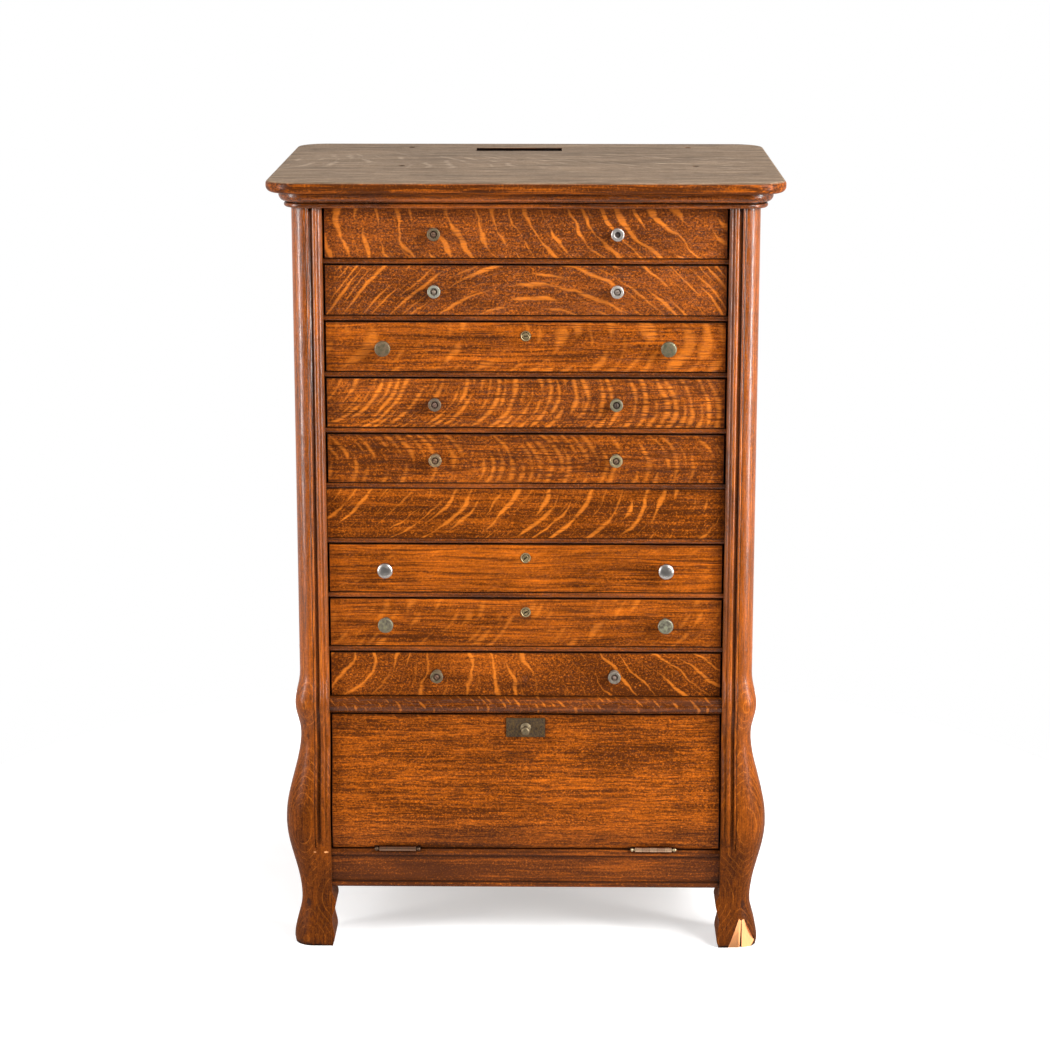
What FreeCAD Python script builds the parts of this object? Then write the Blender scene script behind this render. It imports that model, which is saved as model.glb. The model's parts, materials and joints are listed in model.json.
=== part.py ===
import FreeCAD, Part
import math
import os
import re
import Sketcher
from FreeCAD import Placement, Rotation, Vector

# A floor-standing oak base for a cash register: a tall case with nine shallow fronts, a bulged
# drop-front cupboard and four bulged legs. Millimetres; +Z is up, the front faces -Y and the
# origin is on the floor, below the middle of the top board.

# Driving dimensions
SIZES = {
    # whole case
    "total_height": 1066.0,
    "top_width": 686.0,
    "top_depth": 533.0,
    "top_thickness": 16.0,
    "top_corner_radius": 45.0,
    "top_edge_radius": 5.0,
    "top_under_radius": 8.0,
    "overhang": 32.5,
    "back_overhang": 12.5,
    # bed moulding under the top board
    "cornice_height": 20.5,
    "cornice_reach": 16.5,
    "cornice_lip": 4.0,
    "cornice_ovolo": 9.0,
    "cornice_step": 1.5,
    "cornice_bead": 3.5,
    # corner posts and legs
    "post_width": 41.0,
    "post_depth": 46.0,
    "post_proud": 14.0,
    "post_radius": 20.0,
    "calf_radius": 36.0,
    "foot_radius": 26.0,
    "fillet_width": 6.0,
    "wide_reed": 7.0,
    "narrow_reed": 4.0,
    "reed_gap": 4.0,
    "reed_depth": 4.0,
    "reed_bed_start": 0.5,
    "reed_end_share": 0.128518,
    "reed_fade": 22.0,
    # leg profile, from the knee down: share of the whole height, and how far the leg stands out there
    "shoulder_height_share": 0.403377,
    "knee_top_share": 0.366792,
    "knee_height_share": 0.325985,
    "knee_bulge": 6.5,
    "waist_height_share": 0.286116,
    "calf_height_share": 0.169794,
    "calf_bulge": 21.5,
    "ankle_height_share": 0.061914,
    "ankle_bulge": 2.2,
    "toe_height_share": 0.007505,
    "toe_bulge": 12.7,
    "sole_bulge": 11.5,
    "bracket_start_share": 0.071295,
    "bracket_height_share": 0.056285,
    "bracket_bulge": 5.0,
    "instep_height_share": 0.034709,
    "heel_height_share": 0.010319,
    "heel_bulge": 3.5,
    "sole_heel": 1.0,
    # fronts and dividers
    "drawer_pitch_share": 0.071482,
    "divider": 7.2,
    "last_front_drop": 14.7,
    "front_thickness": 20.0,
    "front_side_gap": 2.2,
    "front_top_gap": 1.5,
    "front_bottom_gap": 0.5,
    "divider_depth": 46.5,
    "divider_proud": 1.5,
    # drawer boxes
    "drawer_length": 365.0,
    "side_inset": 1.8,
    "side_thickness": 11.0,
    "side_headroom": 22.2,
    "front_rabbet": 10.0,
    "bottom_thickness": 6.0,
    "bottom_rise": 6.0,
    "groove_depth": 5.0,
    "back_thickness": 11.0,
    "back_inset": 4.0,
    "back_drop": 2.0,
    "till_divider": 6.0,
    "till_height": 34.0,
    "coin_row": 85.0,
    "runner_width": 47.5,
    "runner_clearance": 0.3,
    "guide_height": 24.0,
    "guide_clearance": 0.5,
    "stop_width": 30.0,
    "stop_depth": 11.0,
    "stop_height": 5.0,
    "stop_clearance": 0.3,
    "stop_spacing": 300.0,
    # sides, back and boards
    "side_recess": 8.0,
    "panel_thickness": 8.0,
    "calf_panel_thickness": 12.0,
    "side_rail_thickness": 20.0,
    "side_top_rail": 40.0,
    "top_rail_depth": 40.0,
    "back_recess": 2.0,
    "back_panel": 8.0,
    "dust_board": 8.0,
    "cupboard_floor": 12.0,
    "blank_block": 18.0,
    # waist rail and bottom rail
    "waist_gap": 0.5,
    "waist_rail": 24.0,
    "waist_rail_back": 18.0,
    "side_waist_back": 15.0,
    "rail_top_share": 0.132270,
    "rail_bottom_share": 0.077861,
    "rail_bead": 13.0,
    "rail_foot_bead": 9.5,
    "rail_bead_reach": 17.0,
    "rail_foot_reach": 15.0,
    "rail_fascia_reach": 11.0,
    "rail_back": 10.0,
    "side_rail_drop": 6.0,
    # door, hinges and latch
    "door_top_gap": 2.0,
    "door_bottom_gap": 1.0,
    "door_side_gap": 2.3,
    "door_thickness": 19.0,
    "door_bevel": 4.0,
    "door_bevel_start": 3.0,
    "hinge_length": 50.8,
    "hinge_spacing": 354.0,
    "knuckle_radius": 3.2,
    "hinge_pin_radius": 1.5,
    "hinge_fit": 0.05,
    "knuckle_gap": 0.4,
    "hinge_ball": 2.6,
    "pin_overrun": 2.6,
    "knuckle_room": 1.5,
    "hinge_leaf": 1.5,
    "leaf_length": 19.0,
    "hinge_forward": 3.5,
    "screw_head_radius": 2.6,
    "screw_head_height": 0.4,
    "screw_radius": 1.3,
    "hinge_screw_length": 11.0,
    "hinge_screw_spacing": 15.0,
    "hinge_screw_row": 12.5,
    "latch_drop": 18.5,
    "latch_width": 53.5,
    "latch_height": 27.0,
    "latch_thickness": 1.5,
    "latch_lift": 0.15,
    "latch_nail_spacing": 34.0,
    "nail_radius": 1.8,
    "nail_head": 0.8,
    "latch_reach": 20.0,
    "latch_knob_radius": 6.0,
    "latch_knob_edge": 2.0,
    "latch_knob_rim": 6.0,
    "latch_neck": 10.0,
    "latch_base_radius": 7.2,
    "latch_base_height": 3.0,
    "latch_base_edge": 1.5,
    "latch_base_gap": 0.2,
    "spindle_radius": 3.5,
    "spindle_fit": 0.08,
    "cam_length": 28.0,
    "cam_width": 10.0,
    "cam_thickness": 3.0,
    "cam_clearance": 0.3,
    "strike_width": 34.0,
    "strike_height": 8.5,
    "strike_thickness": 1.0,
    # pulls
    "small_knob_spacing": 243.0,
    "small_knob_radius": 8.75,
    "small_knob_reach": 17.0,
    "small_knob_cup": 5.6,
    "large_knob_spacing": 381.0,
    "large_knob_radius": 10.6,
    "large_knob_reach": 20.0,
    "large_knob_dome": 2.0,
    "knob_stem_radius": 4.5,
    "knob_edge": 1.2,
    "knob_cup_depth": 4.0,
    "knob_face_inset": 3.0,
    "knob_rim": 5.0,
    "knob_neck": 8.0,
    "knob_foot_radius": 7.0,
    "knob_foot_height": 3.0,
    "knob_foot_edge": 1.5,
    "knob_screw_radius": 2.0,
    "knob_screw_head": 4.2,
    "knob_screw_head_height": 2.4,
    # drawer locks
    "lock_drop": 18.6,
    "lock_ring_radius": 7.0,
    "lock_ring_proud": 1.0,
    "lock_barrel_radius": 6.0,
    "plug_radius": 4.2,
    "plug_fit": 0.08,
    "plug_end_gap": 0.2,
    "key_slot_width": 1.3,
    "key_slot_length": 6.4,
    "key_slot_depth": 2.0,
    "lock_case_width": 36.0,
    "lock_case_height": 27.0,
    "lock_case_depth": 8.0,
    "bolt_width": 14.0,
    "bolt_thickness": 5.0,
    "bolt_height": 18.0,
    "bolt_travel": 6.2,
    "bolt_fit": 0.2,
    "bolt_flush": 0.3,
    "mortise_room": 1.0,
    # where the register stands on the top board
    "bolt_hole_radius": 4.5,
    "bolt_spacing_x": 404.0,
    "bolt_spacing_y": 260.0,
    "bolt_centre_x": 29.5,
    "bolt_centre_y": 76.5,
    "slot_length": 124.0,
    "slot_width": 43.0,
    "slot_centre_x": -15.0,
    "slot_centre_y": 176.5,
}

# Places worked out from the driving dimensions
PLACES = {
    "case_top": "total_height - top_thickness",
    "post_outer": "top_width / 2 - overhang",
    "post_inner": "post_outer - post_width",
    "post_face": "-top_depth / 2 + overhang",
    "post_back": "post_face + post_depth",
    "case_back": "top_depth / 2 - back_overhang",
    "rear_post_face": "case_back - post_depth",
    "front_plane": "post_face + post_proud",
    "side_plane": "post_outer - side_recess",
    "side_inner": "side_plane - panel_thickness",
    "back_face": "case_back - back_recess - back_panel",
    "bays_top": "case_top - cornice_height",
    "front_height": "drawer_pitch - divider - front_top_gap - front_bottom_gap",
    "last_front_height": "drawer_pitch - last_front_drop",
    "side_height": "drawer_pitch - side_headroom",
    "divider_back": "front_plane - divider_proud + divider_depth",
    "front_half": "post_inner - front_side_gap",
    "side_outer": "front_half - side_inset",
    "box_inner": "side_outer - side_thickness",
    "box_start": "front_plane + front_rabbet",
    "box_end": "front_plane + drawer_length",
    "waist_top": "bays_top - 8 * drawer_pitch - front_top_gap - last_front_height - waist_gap",
    "waist_bottom": "waist_top - waist_rail",
    "waist_back": "front_plane + waist_rail_back",
    "ledge_bottom": "waist_top - divider",
    "door_top": "waist_bottom - door_top_gap",
    "door_bottom": "rail_top + door_bottom_gap",
    "door_half": "post_inner - door_side_gap",
    "hinge_height": "rail_top + door_bottom_gap / 2",
    "latch_z": "door_top - latch_drop",
    "door_back": "front_plane + door_thickness",
}
for name in SIZES:
    if name.endswith("_share"):
        PLACES[name.removesuffix("_share")] = f"total_height * {name}"

# Fronts are numbered from the top; a locking one is given with the turn of its key slot
LAST_FRONT = 9
BLANK_FRONT = 6
LOCKED_FRONTS = {3: 0.0, 7: 45.0, 8: 30.0}
DRAWERS = [number for number in range(1, LAST_FRONT + 1) if number != BLANK_FRONT]

KNUCKLES = 5

# Least space between two sections of a loft
SECTION_SPACE = 4.0

# How far a cutting shape runs past what it cuts, and how deep a reed is rooted in its leg
OVERRUN = 1
REED_ROOT = 3

doc = FreeCAD.newDocument("RegisterBase")
sheet = doc.addObject("Spreadsheet::Sheet", "Sizes")
for row, (alias, size) in enumerate(SIZES.items(), 1):
    sheet.set(f"A{row}", alias)
    sheet.set(f"B{row}", str(size))
    sheet.setAlias(f"B{row}", alias)
doc.recompute()

NODES = []


# Formulas: text made of the names above, bound to the sheet

def bind(text):
    """Write a formula of named sizes and places as an expression on the sheet."""
    def swap(match):
        word = match.group(0)
        if word in PLACES:
            return f"({bind(PLACES[word])})"
        return f"Sizes.{word}" if word in SIZES else word
    return re.sub(r"[a-z][a-z_]*", swap, str(text))


def value(text):
    return float(sheet.evalExpression(bind(text)))


def place(piece, x="0", y="0", z="0"):
    for axis, text in zip("xyz", (x, y, z)):
        piece.setExpression(f"Placement.Base.{axis}", bind(text))
    return piece


def ease(stations, height):
    """Formula of a smooth profile at a height: half a cosine wave between each two stations."""
    for (high, start), (low, end) in zip(stations, stations[1:]):
        if value(height) >= value(low) - 1e-6 or low == stations[-1][0]:
            share = f"(({high}) - ({height})) / (({high}) - ({low}))"
            return f"(({start}) + (({end}) - ({start})) * (1 - cos(180 * {share})) / 2)"


# Pieces made of plain primitives and booleans

def block(name, corner, size):
    """A board between its low corner and its size, both given as formulas."""
    board = doc.addObject("Part::Box", name)
    for side, text in zip(("Length", "Width", "Height"), size):
        board.setExpression(side, bind(text))
    return place(board, *corner)


def between(name, low, high):
    """A board given by two opposite corners."""
    return block(name, low, [f"({top}) - ({bottom})" for bottom, top in zip(low, high)])


def rod(name, radius, length, start, along="y"):
    """A round rod from its start, along an axis of the frame."""
    piece = doc.addObject("Part::Cylinder", name)
    piece.setExpression("Radius", bind(radius))
    piece.setExpression("Height", bind(length))
    turns = {"x": Rotation(Vector(0, 1, 0), 90), "y": Rotation(Vector(1, 0, 0), -90), "z": Rotation()}
    piece.Placement = Placement(Vector(), turns[along])
    return place(piece, *start)


def joined(name, parts):
    piece = doc.addObject("Part::MultiFuse", name)
    piece.Shapes = parts
    return piece


def cut(name, base, tools):
    piece = doc.addObject("Part::Cut", name)
    piece.Base = base
    piece.Tool = tools[0] if len(tools) == 1 else group(f"{name}_tools", tools)
    return piece


def group(name, parts):
    """Separate solids kept under one name."""
    piece = doc.addObject("Part::Compound", name)
    piece.Links = parts
    return piece


def mirrored(name, source):
    """The same piece on the other side of the middle plane."""
    piece = doc.addObject("Part::Mirroring", name)
    piece.Source = source
    piece.Normal = Vector(1, 0, 0)
    return piece


def pair(name, source):
    return group(name, [source, mirrored(f"{name}_mirrored", source)])


def node(name, piece):
    """Give a finished sub-part the name that its file gets."""
    piece.Label = name
    NODES.append(piece)
    return piece


# Pieces made of sketches and features

def new_body(name):
    return doc.addObject("PartDesign::Body", name)


def origin_feature(body, role):
    return next(item for item in body.Origin.OriginFeatures if item.Role == role)


def new_sketch(body, name, role, lift="0"):
    """A sketch on one of the body's own origin planes, lifted off it along its normal."""
    sketch = body.newObject("Sketcher::SketchObject", name)
    sketch.AttachmentSupport = [(origin_feature(body, role), "")]
    sketch.MapMode = "FlatFace"
    sketch.setExpression("AttachmentOffset.Base.z", bind(lift))
    return sketch


def constrain(sketch, kind, where, text):
    index = sketch.addConstraint(Sketcher.Constraint(kind, *where, value(text)))
    sketch.setExpression(f"Constraints[{index}]", bind(text))


def fix_point(sketch, edge, end, corner):
    constrain(sketch, "DistanceX", (-1, 1, edge, end), corner[0])
    constrain(sketch, "DistanceY", (-1, 1, edge, end), corner[1])


def outline(body, name, role, corners, lift="0", arcs=None, closed=True):
    """Outline through bound corners. arcs maps a side's number to (radius, bulge direction)."""
    sketch = new_sketch(body, name, role, lift)
    points = [Vector(value(x), value(y), 0) for x, y in corners]
    count = len(points)
    sides = count if closed else count - 1
    arcs = arcs or {}
    ends = []
    for side in range(sides):
        first, last = points[side], points[(side + 1) % count]
        if side in arcs:
            radius, turn = arcs[side]
            chord = last - first
            middle = (first + last) * 0.5
            half = chord.Length / 2
            sagitta = value(radius) - math.sqrt(max(value(radius) ** 2 - half ** 2, 0))
            across = Vector(chord.y, -chord.x, 0).normalize() * turn * sagitta
            edge = sketch.addGeometry(Part.Arc(first, middle + across, last), False)
            forward = sketch.getPoint(edge, 1).distanceToPoint(first) < 1e-4
            ends.append((1, 2) if forward else (2, 1))
            if value(radius) - half > 1e-3:
                constrain(sketch, "Radius", (edge,), radius)
            elif abs(chord.y) > abs(chord.x):
                constrain(sketch, "DistanceX", (-1, 1, edge, 3), corners[side][0])
            else:
                constrain(sketch, "DistanceY", (-1, 1, edge, 3), corners[side][1])
        else:
            sketch.addGeometry(Part.LineSegment(first, last), False)
            ends.append((1, 2))
    for side in range(sides if closed else sides - 1):
        after = (side + 1) % count
        sketch.addConstraint(Sketcher.Constraint("Coincident", side, ends[side][1], after, ends[after][0]))
    for side in range(sides):
        fix_point(sketch, side, ends[side][0], corners[side])
    if not closed:
        fix_point(sketch, sides - 1, ends[-1][1], corners[-1])
    return sketch


def rectangle(body, name, role, low, high, lift="0"):
    (left, bottom), (right, top) = low, high
    corners = [(left, bottom), (right, bottom), (right, top), (left, top)]
    return outline(body, name, role, corners, lift)


def circles(body, name, role, centres, radius, lift="0"):
    sketch = new_sketch(body, name, role, lift)
    for x, y in centres:
        centre = Vector(value(x), value(y), 0)
        edge = sketch.addGeometry(Part.Circle(centre, Vector(0, 0, 1), value(radius)), False)
        constrain(sketch, "Radius", (edge,), radius)
        fix_point(sketch, edge, 3, (x, y))
    return sketch


def pad(body, name, profile, length, backwards=False, symmetric=False):
    feature = body.newObject("PartDesign::Pad", name)
    feature.Profile = profile
    feature.setExpression("Length", bind(length))
    feature.Reversed = backwards
    if symmetric:
        feature.SideType = "Symmetric"
    return feature


def pocket(body, name, profile, length, backwards=False):
    feature = body.newObject("PartDesign::Pocket", name)
    feature.Profile = profile
    feature.setExpression("Length", bind(length))
    feature.Reversed = backwards
    return feature


def loft(body, name, sections, kind="AdditiveLoft"):
    feature = body.newObject(f"PartDesign::{kind}", name)
    feature.Profile = sections[0]
    feature.Sections = sections[1:]
    return feature


def turned(body, name, profile, role):
    """Turn a profile all the way round one of the body's origin axes."""
    feature = body.newObject("PartDesign::Revolution", name)
    feature.Profile = profile
    feature.ReferenceAxis = (origin_feature(body, role), [""])
    feature.Angle = 360
    return feature


# Profile of the bulged legs, door and lower sides

OUTER_PROFILE = [
    ("case_top", "0"),
    ("knee_top", "0"),
    ("knee_height", "knee_bulge"),
    ("waist_height", "0"),
    ("calf_height", "calf_bulge"),
    ("ankle_height", "ankle_bulge"),
    ("toe_height", "toe_bulge"),
    ("0", "sole_bulge"),
]
DOOR_PROFILE = [("case_top", "0")] + OUTER_PROFILE[3:]
INNER_PROFILE = [
    ("case_top", "0"),
    ("bracket_start", "0"),
    ("bracket_height", "bracket_bulge"),
    ("instep_height", "0"),
    ("heel_height", "heel_bulge"),
    ("0", "sole_heel"),
]
CORNER_PROFILE = [
    ("case_top", "post_radius"),
    ("waist_height", "post_radius"),
    ("calf_height", "calf_radius"),
    ("ankle_height", "post_radius"),
    ("toe_height", "foot_radius"),
    ("0", "foot_radius"),
]
LEG_HEIGHTS = ["shoulder_height", "knee_top", "knee_height", "waist_height", "calf_height",
               "rail_bottom", "ankle_height", "instep_height", "toe_height", "0"]
DOOR_HEIGHTS = ["case_top", "waist_height", "calf_height", "ankle_height"]


def heights_between(stations, low, high, steps=4):
    """Heights for sections: each stretch between two stations shared into equal steps."""
    inside = []
    for top, bottom in zip(stations, stations[1:]):
        for step in range(steps):
            inside.append(f"({bottom}) + (({top}) - ({bottom})) * {step / steps}")
    kept = [low]
    for text in sorted(inside, key=value):
        if value(kept[-1]) + SECTION_SPACE < value(text) < value(high) - SECTION_SPACE:
            kept.append(text)
    return kept + [high]



def bulge(height):
    return ease(OUTER_PROFILE, height)


def door_bulge(height):
    return ease(DOOR_PROFILE, height)


# The hinge pin stands just in front of the door's lower edge, and the latch plate lies on the door
PLACES["hinge_axis"] = f"front_plane - ({door_bulge('door_bottom')}) - hinge_forward"
PLACES["latch_seat"] = f"front_plane - ({door_bulge('latch_z - latch_height / 2')}) - latch_lift"
PLACES["latch_face"] = "latch_seat - latch_thickness"


# Top board and the moulding under it

def make_top_board():
    body = new_body("TopBoard")
    radius = "top_corner_radius"
    right, back = "top_width / 2", "top_depth / 2"
    corners = [
        (f"-{right} + {radius}", f"-{back}"), (f"{right} - {radius}", f"-{back}"),
        (right, f"-{back} + {radius}"), (right, f"{back} - {radius}"),
        (f"{right} - {radius}", back), (f"-{right} + {radius}", back),
        (f"-{right}", f"{back} - {radius}"), (f"-{right}", f"-{back} + {radius}"),
    ]
    rounded = {side: (radius, 1) for side in (1, 3, 5, 7)}
    plan = outline(body, "TopPlan", "XY_Plane", corners, "case_top", rounded)
    board = pad(body, "TopPad", plan, "top_thickness")
    doc.recompute()
    for name, height, size in (("TopRound", "total_height", "top_edge_radius"),
                               ("UnderRound", "case_top", "top_under_radius")):
        level = value(height)
        faces = [f"Face{number}" for number, face in enumerate(board.Shape.Faces, 1)
                 if abs(face.CenterOfMass.z - level) < 1e-3 and face.normalAt(0, 0).z ** 2 > 0.9]
        fillet = body.newObject("PartDesign::Fillet", name)
        fillet.Base = (board, faces)
        fillet.setExpression("Radius", bind(size))
        board = fillet
        doc.recompute()
    hole = circles(body, "BoltHole", "XY_Plane",
                   [("bolt_centre_x - bolt_spacing_x / 2", "bolt_centre_y - bolt_spacing_y / 2")],
                   "bolt_hole_radius", "case_top")
    drilled = pocket(body, "BoltHolePocket", hole, "top_thickness", backwards=True)
    rows = body.newObject("PartDesign::MultiTransform", "BoltHoles")
    rows.Originals = [drilled]
    steps = []
    for name, axis, spacing in (("AlongX", "X_Axis", "bolt_spacing_x"),
                                ("AlongY", "Y_Axis", "bolt_spacing_y")):
        pattern = body.newObject("PartDesign::LinearPattern", name)
        pattern.Direction = (origin_feature(body, axis), [""])
        pattern.setExpression("Length", bind(spacing))
        pattern.Occurrences = 2
        steps.append(pattern)
    rows.Transformations = steps
    body.Tip = rows
    slot = rectangle(body, "LinkageSlot", "XY_Plane",
                     ("slot_centre_x - slot_length / 2", "slot_centre_y - slot_width / 2"),
                     ("slot_centre_x + slot_length / 2", "slot_centre_y + slot_width / 2"), "case_top")
    pocket(body, "LinkageSlotPocket", slot, "top_thickness", backwards=True)
    node("top_board", body)


def signs(role):
    """Outward sign, inward sign and turn of an arc in a profile of the front or of a side."""
    return ("-", "+", 1) if role == "YZ_Plane" else ("+", "-", -1)


def cornice_profile(body, name, role, back, lift="0"):
    """Ovolo over a small bead; back is the formula of the plane that the moulding lies on."""
    out, _, turn = signs(role)

    def point(reach, height):
        return (f"({back}) {out} ({reach})", height)

    neck = "cornice_reach - cornice_ovolo - cornice_step"
    corners = [
        point("0", "case_top"),
        point("cornice_reach", "case_top"),
        point("cornice_reach", "case_top - cornice_lip"),
        point("cornice_reach - cornice_ovolo", "case_top - cornice_lip - cornice_ovolo"),
        point(neck, "case_top - cornice_lip - cornice_ovolo"),
        point(neck, "bays_top + 2 * cornice_bead"),
        point(neck, "bays_top"),
        point("0", "bays_top"),
    ]
    arcs = {2: ("cornice_ovolo", turn), 5: ("cornice_bead", turn)}
    return outline(body, name, role, corners, lift, arcs)


def cornice_path(body, name, corners, arcs):
    return outline(body, name, "XY_Plane", corners, "case_top", arcs, closed=False)


def make_cornice():
    """Front length and side length follow the corner and meet at a mitre half way round it."""
    radius = "post_radius"
    slant = "post_radius * cos(45)"
    mitre = (f"post_outer - {radius} + {slant}", f"post_face + {radius} - {slant}")
    bend = (f"post_outer - {radius}", "post_face")

    front = new_body("FrontCornice")
    profile = cornice_profile(front, "FrontCorniceProfile", "YZ_Plane", "post_face")
    path = cornice_path(front, "FrontCornicePath", [("0", "post_face"), bend, mitre], {1: (radius, 1)})
    half = front.newObject("PartDesign::AdditivePipe", "FrontCornicePipe")
    half.Profile = profile
    half.Spine = path
    doc.recompute()
    whole = front.newObject("PartDesign::Mirrored", "FrontCorniceWhole")
    whole.Originals = [half]
    whole.MirrorPlane = (origin_feature(front, "YZ_Plane"), [""])
    front.Tip = whole

    side = new_body("SideCornice")
    profile = cornice_profile(side, "SideCorniceProfile", "XZ_Plane", "post_outer", "-(case_back)")
    start = ("post_outer", "case_back")
    corner = ("post_outer", f"post_face + {radius}")
    path = cornice_path(side, "SideCornicePath", [start, corner, mitre], {1: (radius, -1)})
    run = side.newObject("PartDesign::AdditivePipe", "SideCornicePipe")
    run.Profile = profile
    run.Spine = path
    node("cornice_moulding", group("Cornice", [front, side, mirrored("LeftCornice", side)]))


# Legs: each is one piece from the floor to the top board

def leg_section(body, name, height):
    outer = bulge(height)
    inner = ease(INNER_PROFILE, height)
    radius = ease(CORNER_PROFILE, height)
    left, right = f"post_inner - {inner}", f"post_outer + {outer}"
    front, back = f"post_face - {outer}", f"post_back + {inner}"
    corners = [(left, back), (left, front), (f"{right} - {radius}", front),
               (right, f"{front} + {radius}"), (right, back)]
    return outline(body, name, "XY_Plane", corners, height, {2: (radius, 1)})


def fade(height):
    """Share of the reeds' full depth: all of it high up, none at their lower end."""
    share = (value(height) - value("reed_end")) / value("reed_fade")
    return f"{min(max(share, 0.0), 1.0)}"


def reed_bed_section(body, name, height):
    """The strip beside the drawers that is cut back so that the reeds stand in it."""
    front = f"post_face - {bulge(height)}"
    width = "fillet_width + wide_reed + reed_gap + narrow_reed"
    depth = f"(reed_depth + reed_bed_start) * {fade(height)} - reed_bed_start"
    return rectangle(body, name, "XY_Plane", (f"post_inner - {OVERRUN}", f"{front} - {REED_ROOT}"),
                     (f"post_inner + {width}", f"{front} + {depth}"), height)


def reed_section(start, width):
    """Half-round reed; where it fades it sinks back into the leg."""
    def section(body, name, height):
        radius = f"({width}) / 2"
        sink = f"({width}) * (1 - {fade(height)})"
        crown = f"post_face - {bulge(height)} + {sink} + {radius}"
        left, right = f"post_inner + {start}", f"post_inner + {start} + {width}"
        root = f"{crown} + {REED_ROOT}"
        corners = [(left, crown), (right, crown), (right, root), (left, root)]
        return outline(body, name, "XY_Plane", corners, height, {0: (radius, 1)})
    return section


def shaped_post(body, name, section, low, subtract=False):
    """Lofted below the shoulder, straight above it."""
    levels = heights_between(LEG_HEIGHTS, low, "shoulder_height")
    sections = [section(body, f"{name}At{number}", level) for number, level in enumerate(levels)]
    loft(body, f"{name}Loft", sections, "SubtractiveLoft" if subtract else "AdditiveLoft")
    top = section(body, f"{name}Straight", "shoulder_height")
    rise = "case_top - shoulder_height"
    if subtract:
        return pocket(body, f"{name}Pocket", top, rise, backwards=True)
    return pad(body, f"{name}Pad", top, rise)


def make_front_legs():
    body = new_body("FrontLeg")
    shaped_post(body, "Leg", leg_section, "0")
    shaped_post(body, "ReedBed", reed_bed_section, "reed_end", subtract=True)
    shaped_post(body, "WideReed", reed_section("fillet_width", "wide_reed"), "reed_end")
    narrow = reed_section("fillet_width + wide_reed + reed_gap", "narrow_reed")
    shaped_post(body, "NarrowReed", narrow, "reed_end")
    node("front_leg_right", body)
    node("front_leg_left", mirrored("FrontLegLeft", body))


def rear_leg_section(body, name, height):
    outer = bulge(height)
    inner = ease(INNER_PROFILE, height)
    return rectangle(body, name, "XY_Plane", (f"post_inner - {inner}", f"rear_post_face - {inner}"),
                     (f"post_outer + {outer}", "case_back"), height)


def make_rear_legs():
    body = new_body("RearLeg")
    shaped_post(body, "RearLeg", rear_leg_section, "0")
    node("rear_leg_right", body)
    node("rear_leg_left", mirrored("RearLegLeft", body))


# Rails, panels and boards of the case

def nosed_rail(body, name, role, face, back, ledge, lift, length):
    """Rail with a half-round nose; above it a ledge runs back under the drawer or panel."""
    _, away, turn = signs(role)
    radius = "waist_rail / 2"
    corners = [
        (face, "waist_bottom"), (face, "waist_top"), (f"({face}) {away} ({ledge})", "waist_top"),
        (f"({face}) {away} ({ledge})", "ledge_bottom"), (f"({face}) {away} ({back})", "ledge_bottom"),
        (f"({face}) {away} ({back})", "waist_bottom"),
    ]
    sketch = outline(body, f"{name}Profile", role, corners, lift, {0: (radius, -turn)})
    return pad(body, f"{name}Pad", sketch, length)


def make_waist_rail():
    body = new_body("WaistRail")
    ledge = "divider_depth - divider_proud"
    nosed_rail(body, "Waist", "YZ_Plane", "front_plane", "waist_rail_back", ledge,
               "-(post_inner)", "2 * post_inner")
    node("waist_rail", body)


def moulded_rail(body, name, role, face, drop, lift, length):
    """Bottom rail: rounded top bead, hollow fascia and a lower bead, in front of a plane."""
    out, away, turn = signs(role)

    def point(reach, height):
        return (f"({face}) {out} ({reach} - {drop})", height)

    corners = [
        (f"({face}) {away} rail_back", "rail_bottom"),
        (f"({face}) {away} rail_back", "rail_top"),
        point("rail_bead_reach - rail_bead / 2", "rail_top"),
        point("rail_bead_reach - rail_bead / 2", "rail_top - rail_bead"),
        point("rail_fascia_reach", "rail_top - rail_bead"),
        point("rail_fascia_reach", "rail_bottom + rail_foot_bead"),
        point("rail_foot_reach - rail_foot_bead / 2", "rail_bottom + rail_foot_bead"),
        point("rail_foot_reach - rail_foot_bead / 2", "rail_bottom"),
    ]
    arcs = {2: ("rail_bead / 2", turn), 6: ("rail_foot_bead / 2", turn)}
    sketch = outline(body, f"{name}Profile", role, corners, lift, arcs)
    return pad(body, f"{name}Pad", sketch, length)


def hinge_seats(body, name, level, backwards):
    """Shallow seats for the two hinge leaves in a level edge, with holes for their screws."""
    for number, sign in enumerate(("-", "+"), 1):
        middle = f"{sign} hinge_spacing / 2"
        seat = rectangle(body, f"{name}Seat{number}", "XY_Plane",
                         (f"{middle} - hinge_length / 2", "hinge_axis"),
                         (f"{middle} + hinge_length / 2", "hinge_axis + leaf_length"), level)
        pocket(body, f"{name}SeatPocket{number}", seat, "hinge_leaf", backwards)
    right = hinge_screw_places()
    left = [(f"-({x})", y) for x, y in right]
    holes = circles(body, f"{name}ScrewHoles", "XY_Plane", left + right, "screw_radius", level)
    pocket(body, f"{name}ScrewHolePocket", holes, "hinge_screw_length", backwards)


def make_bottom_rail():
    body = new_body("BottomRail")
    moulded_rail(body, "BottomRail", "YZ_Plane", "front_plane", "0", "-(post_inner)", "2 * post_inner")
    hinge_seats(body, "Rail", "rail_top", backwards=False)
    node("bottom_rail", body)


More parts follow.
